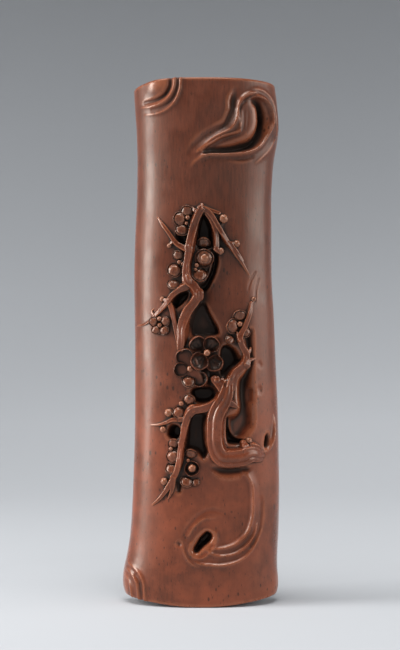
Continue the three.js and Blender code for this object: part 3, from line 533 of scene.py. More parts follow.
# Its lip and the folds of healed bark round it: the fall on the left-hand side, whether it is crisp,
# the stops
KNOT_FOLDS = [
    # the lip, from its left tip round the foot and the right side to the top
    (0.6, True, [
        [0, 197.1, 0.4, 0.8], [1.7, 197.5, 1.2, 0.8], [5.2, 197.9, 1.7, 0.8], [11, 198, 1.9, 0.8],
        [17, 198.4, 2.0, 0.9], [21.3, 199.3, 2.0, 0.9], [25, 201.5, 2.0, 0.9], [27.9, 205, 2.0, 0.9],
        [30.2, 208.9, 2.0, 0.9], [31.6, 213.3, 2.0, 0.9], [31.2, 217.7, 2.0, 0.9],
        [29.8, 221.2, 1.9, 0.8], [27.8, 223.3, 1.6, 0.8], [24.8, 224.3, 1.0, 0.7], [22.4, 224, 0.3, 0.6],
    ]),
    # bark lines outside it
    (1.5, True, [
        [22.6, 227.3, 0.2, 0.5], [25.6, 227.4, 0.5, 0.6], [28.7, 226.4, 0.6, 0.6],
        [31.6, 223.4, 0.6, 0.6], [33.2, 218.8, 0.6, 0.6], [34, 212, 0.5, 0.6], [33.8, 208, 0.3, 0.5],
    ]),
    (1.5, True, [
        [33.2, 206, 0.2, 0.6], [30.6, 201.2, 0.5, 0.7], [26.8, 197, 0.5, 0.7], [24.4, 194.6, 0.2, 0.6],
    ]),
    # the left band, the crease beside it and the sharp inner edge of the floor
    (1.6, True, [
        [24.2, 226, 0.4, 0.6], [20.8, 225.2, 0.9, 0.6], [18, 222.9, 1.3, 0.55], [16.7, 219.6, 1.3, 0.5],
        [16.4, 215.8, 1.4, 0.5], [15.2, 212.3, 1.5, 0.5], [13.1, 209.2, 1.2, 0.5], [9.6, 207.4, 0.8, 0.5],
        [5.2, 205, 0.7, 0.5], [1.6, 202, 0.5, 0.5], [-1.6, 199, 0.2, 0.5],
    ]),
    (1.0, True, [
        [24, 224.6, -0.9, 0.5], [21.6, 223.5, -1.5, 0.5], [19.4, 221.9, -1.7, 0.5],
        [17.8, 219.9, -1.7, 0.45], [17.2, 217.6, -1.4, 0.4], [17.1, 214.5, -0.5, 0.4],
    ]),
    (1.0, True, [
        [17.8, 217.4, 0.3, 0.45], [18.1, 214, 1.0, 0.45], [18, 210.8, 0.9, 0.45],
        [17.5, 208.4, 0.3, 0.45],
    ]),
    (1.0, True, [[19.5, 217, -0.1, 0.4], [19.5, 213, -0.2, 0.4], [19.2, 209.4, -0.1, 0.4]]),
    (1.0, True, [[21, 217, -0.1, 0.4], [21, 213, -0.2, 0.4], [20.5, 208.8, -0.1, 0.4]]),
    # edges of the lower lobe
    (1.0, True, [
        [17.6, 208.4, 0.2, 0.45], [13.4, 206.9, 0.8, 0.45], [9.1, 205.4, 1.0, 0.45],
        [5.4, 203.2, 1.0, 0.45], [2.2, 201, 0.9, 0.45], [0.6, 199.2, 0.4, 0.45],
    ]),
    (1.0, True, [
        [9, 204.2, 0.3, 0.4], [5.4, 201.9, 0.6, 0.4], [3.2, 200.3, 0.5, 0.4], [3.8, 199.3, 0.2, 0.4],
    ]),
    # hollows left of the band, and soft rises and falls below the lip
    (1.0, False, [
        [15.4, 225.4, -0.4, 1.4], [14.4, 221.4, -1.9, 1.5], [14, 217.6, -1.5, 1.4],
        [12.4, 213.2, -1.3, 1.5], [10.6, 210.6, -1.4, 1.5], [6.2, 208.4, -1.0, 1.6],
        [1.2, 205.2, -0.9, 1.6], [-2.8, 201.4, -0.6, 1.4], [-5, 198, -0.2, 1.2],
    ]),
    (1.5, False, [[1.4, 197.2, 0.5, 0.9], [-2.6, 194.8, 0.35, 1.1], [-5, 191.6, 0.1, 1.1]]),
    (1.0, False, [[12, 196.2, -0.2, 0.9], [17.6, 196, -0.6, 0.9], [22.6, 197, -0.3, 0.9]]),
]
for gentle, crisp, stops in KNOT_FOLDS:
    ground += fold(stops, gentle, crisp)

# Two sawn side branches healed over at the left corners: at the top a boss inside two rings of bark, at
# the foot only thin rings. Each ring fades out before the edge of the trunk.
SCAR_FOLDS = [
    (1.4, True, [
        [-8.9, 232, 0.8, 0.5], [-9.3, 226.4, 1.0, 0.5], [-11.5, 221, 1.0, 0.5], [-15.3, 217.6, 0.9, 0.5],
        [-20, 216.3, 0.6, 0.5], [-24.5, 216.6, 0.2, 0.5],
    ]),
    (1.4, True, [
        [-11.4, 232, 0.8, 0.5], [-12, 227, 1.0, 0.5], [-14.2, 223, 1.0, 0.5], [-18, 220.6, 0.9, 0.5],
        [-23, 219.9, 0.5, 0.5], [-26.6, 220.6, 0.1, 0.5],
    ]),
    (1.0, False, [
        [-10.2, 232, -0.5, 0.6], [-10.6, 226.8, -0.6, 0.6], [-12.9, 222, -0.6, 0.6],
        [-16.8, 219.2, -0.5, 0.6], [-21.6, 218.3, -0.3, 0.6],
    ]),
    (1.0, False, [
        [-13.4, 232, -1.2, 0.8], [-13.9, 227.6, -1.4, 0.8], [-16, 224.4, -1.4, 0.8],
        [-20, 222.6, -1.1, 0.8], [-25, 222.4, -0.5, 0.8],
    ]),
    (1.4, True, [
        [-32.6, 15.8, 0.2, 0.5], [-30, 14.2, 0.6, 0.5], [-27.4, 11.6, 0.9, 0.5], [-25.4, 7.4, 1.0, 0.5],
        [-24.4, 2.6, 1.0, 0.5], [-24, -1.5, 0.9, 0.5],
    ]),
    (1.4, True, [
        [-33.2, 12.4, 0.2, 0.5], [-31, 10.6, 0.6, 0.5], [-28.8, 7.2, 0.9, 0.5], [-27.2, 2.6, 0.9, 0.5],
        [-26.8, -1.5, 0.8, 0.5],
    ]),
    (1.4, True, [
        [-33.4, 8.4, 0.2, 0.5], [-31.6, 5.8, 0.5, 0.5], [-30.2, 2.4, 0.7, 0.5], [-29.6, -1.5, 0.6, 0.5],
    ]),
    (1.0, False, [
        [-29.2, 10.6, -0.4, 0.6], [-27, 7, -0.5, 0.6], [-25.8, 2, -0.5, 0.6], [-25.4, -1.5, -0.5, 0.6],
    ]),
]
for gentle, crisp, stops in SCAR_FOLDS:
    ground += fold(stops, gentle, crisp)
BOSS = [-19.5, 229.0, 6.6, 5.6]
BOSS_HEIGHT = 1.0
BOSS_FALL = (0.1, 1.0)
ground += BOSS_HEIGHT * oval(plain_front[..., 0], HEIGHT, BOSS, BOSS_FALL)

# Folds of root flow down from the bend and round under the lower knot
ROOT_FOLDS = [
    (2.2, True, [
        [18, 59.2, 0.4, 0.8], [20.8, 55.7, 1.3, 0.7], [22.4, 51.3, 1.8, 0.65], [22.6, 44.8, 1.9, 0.65],
        [22.3, 38.3, 1.9, 0.65], [20.2, 31.8, 1.8, 0.6], [15.9, 27.4, 1.6, 0.6], [11.5, 25.3, 1.4, 0.6],
        [6.1, 24.6, 0.8, 0.6], [3.4, 25, 0.3, 0.5],
    ]),
    (1.6, True, [
        [24.6, 34.6, 0.3, 0.6], [23.2, 30.6, 1.0, 0.6], [20.2, 26.3, 1.3, 0.6], [16.6, 23.3, 1.3, 0.6],
        [12.6, 21.8, 1.3, 0.6], [8.4, 21.5, 1.2, 0.6], [5.2, 22.3, 1.0, 0.6], [3, 24, 0.5, 0.5],
    ]),
    (1.8, True, [
        [26.4, 32, 0.2, 0.6], [24, 26.6, 0.7, 0.6], [20.4, 21.8, 1.1, 0.6], [17, 19.3, 1.2, 0.6],
        [13, 17.9, 1.2, 0.6], [8.7, 17.3, 1.2, 0.6], [3.9, 17.6, 1.1, 0.6], [-0.9, 18.3, 0.7, 0.6],
        [-3.4, 19.6, 0.3, 0.5],
    ]),
    (1.6, True, [
        [-8, 25, 0.2, 0.5], [-7.2, 22.4, 0.6, 0.5], [-5.8, 19.6, 0.7, 0.5], [-3.5, 17.4, 0.6, 0.5],
        [-0.8, 16.4, 0.2, 0.5],
    ]),
    (1.8, True, [
        [-4.6, 27, 0.3, 0.5], [-5.2, 23.6, 0.6, 0.5], [-3.4, 20.9, 0.6, 0.5], [0.6, 20.4, 0.5, 0.5],
        [4.6, 23.4, 0.6, 0.6], [6.8, 27.6, 0.7, 0.8], [6.6, 31.4, 0.5, 0.9],
    ]),
    (1.0, True, [
        [-7.8, 29.6, -0.2, 0.6], [-4.8, 34.8, -0.35, 0.6], [-0.4, 39.2, -0.4, 0.6],
        [4.8, 41.3, -0.4, 0.6], [10.4, 40, -0.2, 0.6],
    ]),
    (1.0, True, [
        [-5.4, 30.4, 0.2, 0.6], [-2.6, 34.6, 0.35, 0.6], [1.6, 37.6, 0.3, 0.6], [6.4, 38, 0.15, 0.6],
    ]),
    (1.0, False, [
        [26.6, 46, -0.3, 0.9], [26.4, 38, -0.6, 0.9], [25, 31, -0.5, 0.8], [21.8, 24.9, -0.4, 0.7],
    ]),
]
for gentle, crisp, stops in ROOT_FOLDS:
    ground += fold(stops, gentle, crisp)

# A thin fin stands on the right edge beside the end of the root
EDGE_FIN = [
    [26.5, 65.8, 0.4, 0.8], [29.2, 67.2, 1.0, 0.8], [31.3, 70, 1.7, 0.7], [32.2, 74.4, 1.8, 0.6],
    [32.5, 79, 1.2, 0.5], [32.6, 82.8, 0.3, 0.4],
]
ground += fold(EDGE_FIN, 1.0, True)

# Hand polish leaves the front uneven, in shallow waves that sway on their way up. Both ends are eased.
WAVE_HEIGHT = 0.1
RISE_RATE = 0.11
ACROSS_RATE = 0.13
SLANT_RATE = 0.031
SWAY_RATE = 0.09
sway = 2 * np.sin(ACROSS * SWAY_RATE)
slant = HEIGHT * SLANT_RATE
ground += WAVE_HEIGHT * np.sin(HEIGHT * RISE_RATE + sway) * np.sin(ACROSS * ACROSS_RATE + slant)
from_end = np.minimum(heights - FOOT_END, TOP_END - heights)
eased_in = END_ROUND - np.sqrt(np.maximum(END_ROUND**2 - np.maximum(END_ROUND - from_end, 0) ** 2, 0))

# Both ends are sawn in a shallow bow, so the corners stand back from the middle: the half-width of the
# level part, the power of the bow, and how far it drops at the left and at the right, DROP_SPAN outside
# that part
END_BOW = {"foot": (2, 1.5, (1.5, 1.5)), "top": (10, 2, (2.4, 0.6))}
DROP_SPAN = 18
DROP_REACH = 26


def bowed(x, z):
    """The height z after the ends are bowed."""
    drops = {}
    for end, (level, power, sides) in END_BOW.items():
        past = np.maximum(np.abs(x) - level, 0) / DROP_SPAN
        drops[end] = np.take(sides, (x > 0).astype(int)) * past**power
    near_foot = 1 - eased(FOOT_END, FOOT_END + DROP_REACH, z)
    near_top = eased(TOP_END - DROP_REACH, TOP_END, z)
    return z + drops["foot"] * near_foot - drops["top"] * near_top


BOWED = bowed(plain_front[..., 0], HEIGHT)
front = plain(TURN, BOWED) + outward(TURN, BOWED) * (ground - eased_in[:, None])[..., None]

# The back: two flat feet with eased edges, and the gouged hollow between them. The gouge left shallow
# flutes, a fixed step apart, that drift a little to the side on their way up.
FOOT_CHAMFER = 0.8
FOOT_EDGE = (0, 0.3, 1)
FOOT_WIDTH = 7.0
HOLLOW_COLUMNS = 30
GOUGE_MARK = 0.14
GOUGE_STEP = 1.35
GOUGE_DRIFT = 0.6
DRIFT_RATE = 0.05
left, right, crest = section(heights)
angle = np.linspace(math.pi / 2, -math.pi / 2, HOLLOW_COLUMNS + 1)
spread = np.sign(np.sin(angle)) * np.abs(np.sin(angle)) ** (2 / SQUARENESS)
half = np.where(angle > 0, right[:, None], left[:, None]) - FOOT_WIDTH
drift = GOUGE_DRIFT * np.sin(heights[:, None] * DRIFT_RATE)
tooling = GOUGE_MARK * np.sin(np.arange(HOLLOW_COLUMNS + 1) * GOUGE_STEP + drift)
arch = (crest[:, None] - CREST_WALL + tooling) * np.abs(np.cos(angle)) ** (2 / SQUARENESS)
hollow = np.stack([half * spread, -arch, bowed(half * spread, heights[:, None])], axis=-1)


def foot_edge(shares, side):
    """Rows of points across the eased outer edge of a foot, at shares of the chamfer."""
    outer, _, level = front[:, -1 if side > 0 else 0].T
    rows = [[outer - side * FOOT_CHAMFER * e, FOOT_CHAMFER * (e - 1) + 0 * outer, level] for e in shares]
    return np.moveaxis(np.array(rows), -1, 0)


round_back = [foot_edge(FOOT_EDGE, 1), hollow, foot_edge(FOOT_EDGE[::-1], -1)]
skin = np.concatenate([front, *round_back, front[:, :1]], axis=1)
trunk_low, trunk_high = (np.array(corner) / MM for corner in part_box("trunk"))
SHIFT = np.array([trunk_high[0] - section(heights)[1].max(), trunk_high[1], trunk_low[2] - FOOT_END])
COINCIDE = 1e-6


def put(piece, points):
    """Moves the points of a piece to where they lie on the carving."""
    piece.data.vertices.foreach_set("co", ((points + SHIFT) * MM).ravel())


def stitched(merge=True, close=False, turn=True):
    """Merges points of the active mesh that coincide, closes it, turns its faces outward and smooths it."""
    bpy.ops.object.mode_set(mode="EDIT")
    bpy.ops.mesh.select_all(action="SELECT")
    if merge:
        bpy.ops.mesh.remove_doubles(threshold=COINCIDE)
    if close:
        bpy.ops.mesh.fill_holes(sides=0)
        bpy.ops.mesh.select_all(action="SELECT")
    if turn:
        bpy.ops.mesh.normals_make_consistent(inside=False)
    bpy.ops.object.mode_set(mode="OBJECT")
    bpy.ops.object.shade_smooth()


def wrapped(name, points):
    """A closed skin over rows of points, each row ending where it began, with both ends closed."""
    rows, columns = points.shape[:2]
    bpy.ops.object.select_all(action="DESELECT")
    bpy.ops.mesh.primitive_grid_add(x_subdivisions=columns - 1, y_subdivisions=rows - 1)
    piece = bpy.context.active_object
    piece.name = piece.data.name = name
    put(piece, points)
    stitched(close=True)
    return piece


def node_output(tree, kind, output, inputs, **settings):
    """Adds a shader node, its inputs values or outputs of other nodes, and gives one of its outputs."""
    node = tree.nodes.new("ShaderNode" + kind)
    for setting, value in settings.items():
        setattr(node, setting, value)
    for socket, value in inputs.items():
        if isinstance(value, bpy.types.NodeSocket):
            tree.links.new(value, node.inputs[socket])
        else:
            node.inputs[socket].default_value = value
    return node.outputs[output]


# Near-black, for painted shade in the cuts with the wax and dust settled there, and for pores and flecks
SHADE_DUST_AND_PORES = (0.009, 0.0035, 0.0025, 1)


def boxwood(name, body, worn_and_lit, roughness, crest_lightening):
    """Polished boxwood. On the crests its body colour turns towards the paler crest colour, partly for rubbing
    and partly as painted highlight. In the cuts it turns near-black, as painted shade with wax and dust. It
    has stains, mottling, grain that runs upwards, pores and flecks."""
    material = bpy.data.materials.new(name)
    material.use_nodes = True
    tree = material.node_tree
    link = tree.links.new
    shader = tree.nodes["Principled BSDF"]
    place = node_output(tree, "TexCoord", "Object", {})

    def mapped(scale):
        return node_output(tree, "Mapping", "Vector", {"Vector": place, "Scale": scale})

    def clouds(scale, detail, vector, rough=0.55):
        inputs = {"Scale": scale, "Detail": detail, "Roughness": rough, "Vector": vector}
        return node_output(tree, "TexNoise", "Fac", inputs)

    def ranged(value, low, high, to_low=0.0, to_high=1.0):
        inputs = {"Value": value, "From Min": low, "From Max": high, "To Min": to_low, "To Max": to_high}
        return node_output(tree, "MapRange", "Result", inputs, interpolation_type="SMOOTHSTEP")

    def mixed(share, first, second):
        return node_output(tree, "Mix", 2, {0: share, 6: first, 7: second}, data_type="RGBA")

    def sums(first, second, operation="ADD"):
        return node_output(tree, "Math", 0, {0: first, 1: second}, operation=operation)

    def attribute(label):
        return node_output(tree, "Attribute", "Fac", {}, attribute_name=label)

    # Clouds from broad to fine. The trunk is coloured darker towards its top.
    around = mapped((1, 1, 1))
    height = node_output(tree, "SeparateXYZ", "Z", {"Vector": around})
    top_darkening = ranged(height, 0.06, 0.17, 0.0, 0.7)
    stains = clouds(14, 4, around, 0.6)
    blotches = clouds(45, 5, around, 0.62)
    mottle = clouds(150, 4, around, 0.6)
    grain = clouds(1200, 3, mapped((1, 1, 0.13)))
    # Pores are short and dark, and flecks come in drifts
    pores = ranged(clouds(1900, 2, mapped((1, 1, 0.25))), 0.64, 0.72)
    cells = node_output(tree, "TexVoronoi", "Distance", {"Scale": 420, "Vector": mapped((1, 1, 0.5))})
    fleck_size = ranged(clouds(60, 2, around), 0.42, 0.7, 0.02, 0.22)
    flecks = ranged(sums(cells, fleck_size, "SUBTRACT"), -0.06, 0.06, 1.0, 0.0)
    marks = sums(pores, flecks, "MAXIMUM")

    # The colour is laid on in washes, each with its share and its tone
    deep, old, bright = (tuple(share * c for c in body[:3]) + (1.0,) for share in (0.45, 0.24, 1.35))
    colour = mixed(ranged(blotches, 0.35, 0.68), deep, body)
    for share, tone in (
        (ranged(stains, 0.38, 0.56, 0.6, 0.0), deep),
        (ranged(mottle, 0.4, 0.66, 0.0, 0.35), bright),
        (top_darkening, old),
        (attribute("stain"), old),
        (ranged(grain, 0.3, 0.7, 0.0, 0.16), bright),
        # crests paler: partly rubbing, partly painted highlight
        (ranged(attribute("wear_and_highlight"), 0.1, 1.0, 0.0, crest_lightening), worn_and_lit),
        # cuts near-black: painted shade, with wax and dust
        (ranged(attribute("shade_and_dust"), 0.16, 0.62, 0.0, 0.96), SHADE_DUST_AND_PORES),
        (sums(marks, 0.7, "MULTIPLY"), SHADE_DUST_AND_PORES),
    ):
        colour = mixed(share, colour, tone)
    link(colour, shader.inputs["Base Color"])

    # The polish is duller in the cuts and towards the top, and glossier on the crests
    gloss = ranged(attribute("shade_and_dust"), 0.15, 0.6, roughness, roughness + 0.3)
    gloss = sums(gloss, ranged(attribute("wear_and_highlight"), 0.1, 0.8, 0.0, 0.16), "SUBTRACT")
    gloss = sums(gloss, ranged(height, 0.165, 0.195, 0.0, 0.08))
    gloss = sums(gloss, ranged(mottle, 0.35, 0.65, -0.02, 0.05))
    link(sums(gloss, ranged(blotches, 0.36, 0.64, -0.04, 0.1)), shader.inputs["Roughness"])
    shader.inputs["Specular IOR Level"].default_value = 0.5
    shader.inputs["Specular Tint"].default_value = (1.0, 0.84, 0.7, 1)
    shader.inputs["Coat Weight"].default_value = 0.12
    shader.inputs["Coat Roughness"].default_value = 0.16

    # Grain and soft lumps in the surface, with the pores pressed in
    relief = sums(ranged(grain, 0.2, 0.8, 0.0, 0.3), ranged(clouds(160, 3, around), 0.2, 0.8, 0.0, 0.7))
    relief = sums(relief, sums(marks, -0.5, "MULTIPLY"))
    bump = node_output(tree, "Bump", "Normal", {"Strength": 0.3, "Distance": 0.12 * MM, "Height": relief})
    link(bump, shader.inputs["Normal"])
    return material


TRUNK_WOOD = boxwood(
    "trunk_boxwood", body=(0.2, 0.043, 0.0165, 1), worn_and_lit=(0.4, 0.13, 0.06, 1), roughness=0.35, crest_lightening=0.4
)
pieces = {"trunk": wrapped("trunk_carving", skin)}


def belongs(node, material):
    """The piece carved for a CAD node takes its place, its wood and its body."""
    piece = pieces[node]
    piece.data.materials.clear()
    piece.data.materials.append(material)
    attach(piece, "root")
    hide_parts(node)


belongs("trunk", TRUNK_WOOD)

# The boughs are left standing from the block, each a tapering branch pared to flats that meet in crisp
# edges. Knuckles and thorns are carved in one with them, as short lines of [x, z, lift, radius] from
# thick to thin.
KNUCKLES = {
    "root_bough": [
        [[11.2, 89.6, 0.6, 2.8], [13.6, 88.2, 0.7, 1.8], [16.3, 86.6, 0.6, 0.5]],
        [[18.5, 69.6, 1.4, 2.2], [18.2, 70.8, 1.2, 1.6]],
        [[22.6, 69.4, 1.0, 2.4], [24.6, 68.6, 0.6, 2.0], [26.4, 66.6, -0.6, 1.5]],
        [[7.8, 88.6, 2.0, 2.6], [7.9, 89.4, 2.0, 2.4]],
    ],
    "right_bough": [
        [[12.2, 99, 1.4, 1.6], [12.3, 99.6, 1.4, 1.4]],
        [[19.4, 105.5, 1.0, 2.2], [19.7, 106.2, 1.0, 2.0]],
        [[20, 110, 0.8, 1.3], [21.2, 111.6, 0.6, 0.8], [21.8, 112.8, 0.3, 0.4]],
        [[17, 116, 0.8, 1.5], [16.2, 118.2, 0.6, 0.9], [15.8, 119.6, 0.4, 0.5]],
        [[22, 131.5, 0.1, 1.0], [23.4, 133.4, 0.0, 0.6]],
    ],
    "blossom_stalk": [
        [[6.8, 98.6, 1.6, 1.5], [6.9, 99.2, 1.5, 1.3]], [[9.2, 97.6, 1.4, 1.5], [9.2, 98.4, 1.3, 1.2]],
    ],
    "left_bough": [
        [[-3.9, 86.1, 1.0, 2.3], [-4.4, 85.8, 1.0, 2.1]],
        [[-12, 55.8, 0.6, 1.7], [-12.4, 52, 0.2, 1.2], [-13.4, 48.6, -0.1, 0.8], [-14.6, 46.4, -0.4, 0.4]],
        [[-8.4, 70, 0.6, 1.7], [-9.6, 71.4, 0.4, 0.9]],
    ],
    "upper_bough": [
        [[-5.6, 142.4, 1.0, 2.7], [-5.9, 143.4, 1.0, 2.5]],
        [[-1, 136.8, 1.0, 2.4], [-1, 135.4, 1.0, 2.3]], [[0, 174.2, 1.1, 1.9], [0.4, 175.2, 1.1, 1.0]],
        [[-4.8, 155.9, 1.0, 2.2], [-5, 156.8, 1.0, 2.2]],
        [[-2.6, 173.2, 0.6, 1.2], [-3.8, 174.4, 0.2, 0.6]],
    ],
    "loop_bough": [
        [[-14.2, 133.4, 0.5, 1.6], [-16.2, 134, 0.2, 0.8]],
        [[-20.6, 126.6, 0.1, 1.0], [-21.6, 128.6, 0.0, 0.6], [-20.8, 130, -0.2, 0.4]],
    ],
    "left_twig": [[[-11.8, 159.8, 0.3, 1.2], [-13.4, 158.4, 0.1, 0.6]]],
    "long_twig": [
        [[11.8, 158.8, 0.5, 1.1], [14.6, 158.8, 0.2, 0.7]],
        [[13, 158.6, 0.4, 1.0], [16, 154.6, 0.2, 0.9], [18.6, 151, 0.0, 0.5]],
    ],
    "short_twig": [[[6.7, 156, 0.1, 1.4], [8.4, 154.6, 0.0, 1.0]]],
}
# How a branch is pared: the angles of its edges from straight out, how far they turn along it, how deep
# the flats between them are, and its furrows [angle, depth, width]
PARED = ([-2.3, -0.8, 0.75, 2.2], 0.3, 0.2, [[0.05, 0.06, 0.22]])
ROOT_PARED = ([-2.2, -0.88, 0.64, 2.1], 0.08, 0.1, [[-0.42, 0.12, 0.15], [0.3, 0.05, 0.2]])
EDGE_OUT = 1.02
FLAT_SAG = 0.14
EDGE_BEAD = 0.06
BEAD_WIDTH = 0.13
THINNEST = 0.2
DOME_RINGS = 6
# The edges wander to and fro on the way along a branch: a slow swing and a quicker one of a smaller share
SLOW_SWING = 0.16
QUICK_SWING = 0.43
QUICK_SHARE = 0.4
THICK_BOUGH = 2.5
THICK_SIDES = 72
THIN_SIDES = 48
KNUCKLE_SIDES = 30
BOUGH_VOXEL = 0.2
LUMP_HEIGHT = 0.16
LUMP_RATE = 170
BOUGH_WOOD = boxwood(
    "bough_boxwood", body=(0.2, 0.045, 0.018, 1), worn_and_lit=(0.46, 0.16, 0.075, 1), roughness=0.2, crest_lightening=0.45
)


def section_round(angle, edges, flat, furrows):
    """Distance of a pared branch's skin from its axis at an angle, for a round of radius 1."""
    edges = np.append(edges, edges[0] + 2 * math.pi)
    angle = (angle - edges[0]) % (2 * math.pi) + edges[0]
    place = np.interp(angle, edges, np.arange(len(edges)))
    gap = np.diff(edges)[np.minimum(place.astype(int), len(edges) - 2)]
    along_flat = place % 1
    to_edge = np.minimum(along_flat, 1 - along_flat) * gap
    round_off = EDGE_OUT - np.minimum(FLAT_SAG * gap**2, flat) * (1 - (2 * along_flat - 1) ** 2)
    round_off += EDGE_BEAD * np.exp(-((to_edge / BEAD_WIDTH) ** 2))
    for at, depth, width in furrows:
        off = (angle - at + math.pi) % (2 * math.pi) - math.pi
        round_off -= depth * np.exp(-((off / width) ** 2))
    return round_off


def branch(stops, sides, seed, pared=PARED):
    """A closed tapering branch with rounded ends along stops of [x, z, lift, radius]."""
    line = curve_through(stops)
    centres = over(line[:, 0], line[:, 1], line[:, 2])
    radius = np.maximum(line[:, 3], THINNEST)
    tangent = np.gradient(centres, axis=0)
    tangent /= np.linalg.norm(tangent, axis=1, keepdims=True)
    out = outward(turn_at(line[:, 0], line[:, 1]), line[:, 1])
    out -= tangent * (out * tangent).sum(axis=1, keepdims=True)
    out /= np.linalg.norm(out, axis=1, keepdims=True)
    side = np.cross(tangent, out)
    travelled = np.concatenate([[0], np.linalg.norm(np.diff(centres, axis=0), axis=1).cumsum()])
    dome = np.linspace(0, math.pi / 2, DOME_RINGS)[1:]
    begin = centres[0] - tangent[0] * (radius[0] * np.sin(dome))[::-1, None]
    end = centres[-1] + tangent[-1] * (radius[-1] * np.sin(dome))[:, None]
    centres = np.vstack([begin, centres, end])
    radius = np.concatenate([(radius[0] * np.cos(dome))[::-1], radius, radius[-1] * np.cos(dome)])
    ends = (len(dome), len(dome))
    out, side = (np.pad(v, (ends, (0, 0)), mode="edge") for v in (out, side))
    travelled = np.pad(travelled, ends, mode="edge")

    around = np.linspace(0, 2 * math.pi, sides + 1)[None, :]
    edges, turning, flat, furrows = pared
    swing = np.sin(SLOW_SWING * travelled + seed) + QUICK_SHARE * np.sin(QUICK_SWING * travelled + 2 * seed)
    swell = section_round(around - turning * swing[:, None], edges, flat, furrows)
    skin = centres[:, None] + radius[:, None, None] * swell[..., None] * (
        np.cos(around)[..., None] * out[:, None] + np.sin(around)[..., None] * side[:, None]
    )
    skin[:, -1] = skin[:, 0]
    skin[0] = centres[0]
    skin[-1] = centres[-1]
    return wrapped("branch", skin)


def joined(name, parts):
    """The parts as one mesh."""
    bpy.ops.object.select_all(action="DESELECT")
    for part in parts:
        part.select_set(True)
    bpy.context.view_layer.objects.active = parts[0]
    if len(parts) > 1:
        bpy.ops.object.join()
    piece = bpy.context.active_object
    piece.name = piece.data.name = name
    return piece


def values_of(mesh, what):
    """The places ("co") or normals of a mesh's points, a row for each."""
    values = np.empty(len(mesh.vertices) * 3)
    mesh.vertices.foreach_get(what, values)
    return values.reshape(-1, 3)


for seed, (node, stops) in enumerate(BOUGHS.items()):
    sides = THICK_SIDES if stops[0][3] > THICK_BOUGH else THIN_SIDES
    parts = [branch(stops, sides, seed, ROOT_PARED if node == "root_bough" else PARED)]
    parts += [branch(knuckle, KNUCKLE_SIDES, seed + 7) for knuckle in KNUCKLES.get(node, [])]
    piece = joined(node + "_carving", parts)
    remesh = piece.modifiers.new("whole", "REMESH")
    remesh.mode = "VOXEL"
    remesh.voxel_size = BOUGH_VOXEL * MM
    smooth = piece.modifiers.new("paring", "SMOOTH")
    smooth.factor = 0.5
    smooth.iterations = 2
    for modifier in ("whole", "paring"):
        bpy.ops.object.modifier_apply(modifier=modifier)
    places, normals = values_of(piece.data, "co"), values_of(piece.data, "normal")
    lumps = np.array([noise.noise(Vector(v) * LUMP_RATE) * LUMP_HEIGHT for v in places])
    piece.data.vertices.foreach_set("co", (places + normals * lumps[:, None] * MM).ravel())
    bpy.ops.object.shade_smooth()
    pieces[node] = piece
    belongs(node, BOUGH_WOOD)

# The blossoms are open plum flowers. A large petal is a round cup with a thin rolled rim, stippled in
# lines that fan out from the flower's middle. A small one is a shell, a rim round a swell that leans to
# the middle.
CUP = np.array([
    # distance from the petal's axis and height, in radii, from the hollow over the rim to the back
    [0.00, -0.46], [0.30, -0.44], [0.56, -0.36], [0.76, -0.18], [0.86, 0.02], [0.905, 0.16],
    [0.94, 0.225], [0.97, 0.225], [0.995, 0.16], [1.0, 0.05], [0.97, -0.14], [0.86, -0.38], [0.62, -0.6],
    [0.3, -0.72], [0.00, -0.76],
])
SHELL = np.array([
    # the same, from the top of the swell
    [0.00, 0.32], [0.34, 0.30], [0.60, 0.21], [0.76, 0.09], [0.83, -0.01], [0.87, -0.02], [0.91, 0.06],
    [0.95, 0.11], [0.98, 0.08], [1.0, 0.00], [0.97, -0.14], [0.86, -0.38], [0.62, -0.6], [0.3, -0.72],
    [0.00, -0.76],
])
SHELL_LEAN = 0.1
SHELL_GROWTH = 1.12
LARGE_PETAL = 3.2
CUP_DEPTH = 1.25
PETAL_LEAN = 0.08
# Where the face ends, as a share of the way to the back, and the point its veins fan out from, in radii
FACE_END = 0.36
FAN_POINT = 1.3
VEINS = 8
VEIN_DEPTH = 0.05
VEIN_START = (0.1, 0.35)
VEIN_EDGE = (0.2, 0.9)
SHELL_VEIN = (0.6, 0.5)
STIPPLE = 0.55
# The rim waves, drops towards the flower's middle and curls up at the far side
RIM_WAVES = (0.018, 0.014)
RIM_END = 0.75
RIM_DROP = 0.16
RIM_CURL = 0.12
KNOB_FURROW = 0.12
BUD_FURROW = 0.1
BLOSSOM_WOOD = boxwood(
    "blossom_boxwood", body=(0.17, 0.044, 0.02, 1), worn_and_lit=(0.42, 0.165, 0.085, 1), roughness=0.2, crest_lightening=0.5
)


def stand(piece, sizes, x, z, radius, lift, middle, lean):
    """Stands a form on the wood, its sizes in radii: towards the flower's middle, across and outward."""
    xs, zs = np.array([x, middle[0]]), np.array([z, middle[1]])
    at, centre = over(xs, zs, [lift, lift])
    facing = outward(turn_at(xs, zs), zs)[0]
    inward = centre - at + 1e-5  # a form in the middle of the flower faces somewhere too
    facing = facing + lean * inward
    facing /= np.linalg.norm(facing)
    inward -= facing * inward.dot(facing)
    inward /= np.linalg.norm(inward)
    px, py, height = (size[:, None] for size in sizes)
    put(piece, at + radius * (px * inward + py * np.cross(facing, inward) + height * facing))


def ball(segments, rings):
    """A sphere, with the polar and round angle of each of its points."""
    bpy.ops.object.select_all(action="DESELECT")
    bpy.ops.mesh.primitive_uv_sphere_add(segments=segments, ring_count=rings, radius=1)
    piece = bpy.context.active_object
    co = values_of(piece.data, "co")
    return piece, np.arccos(np.clip(co[:, 2], -1, 1)), np.arctan2(co[:, 1], co[:, 0])


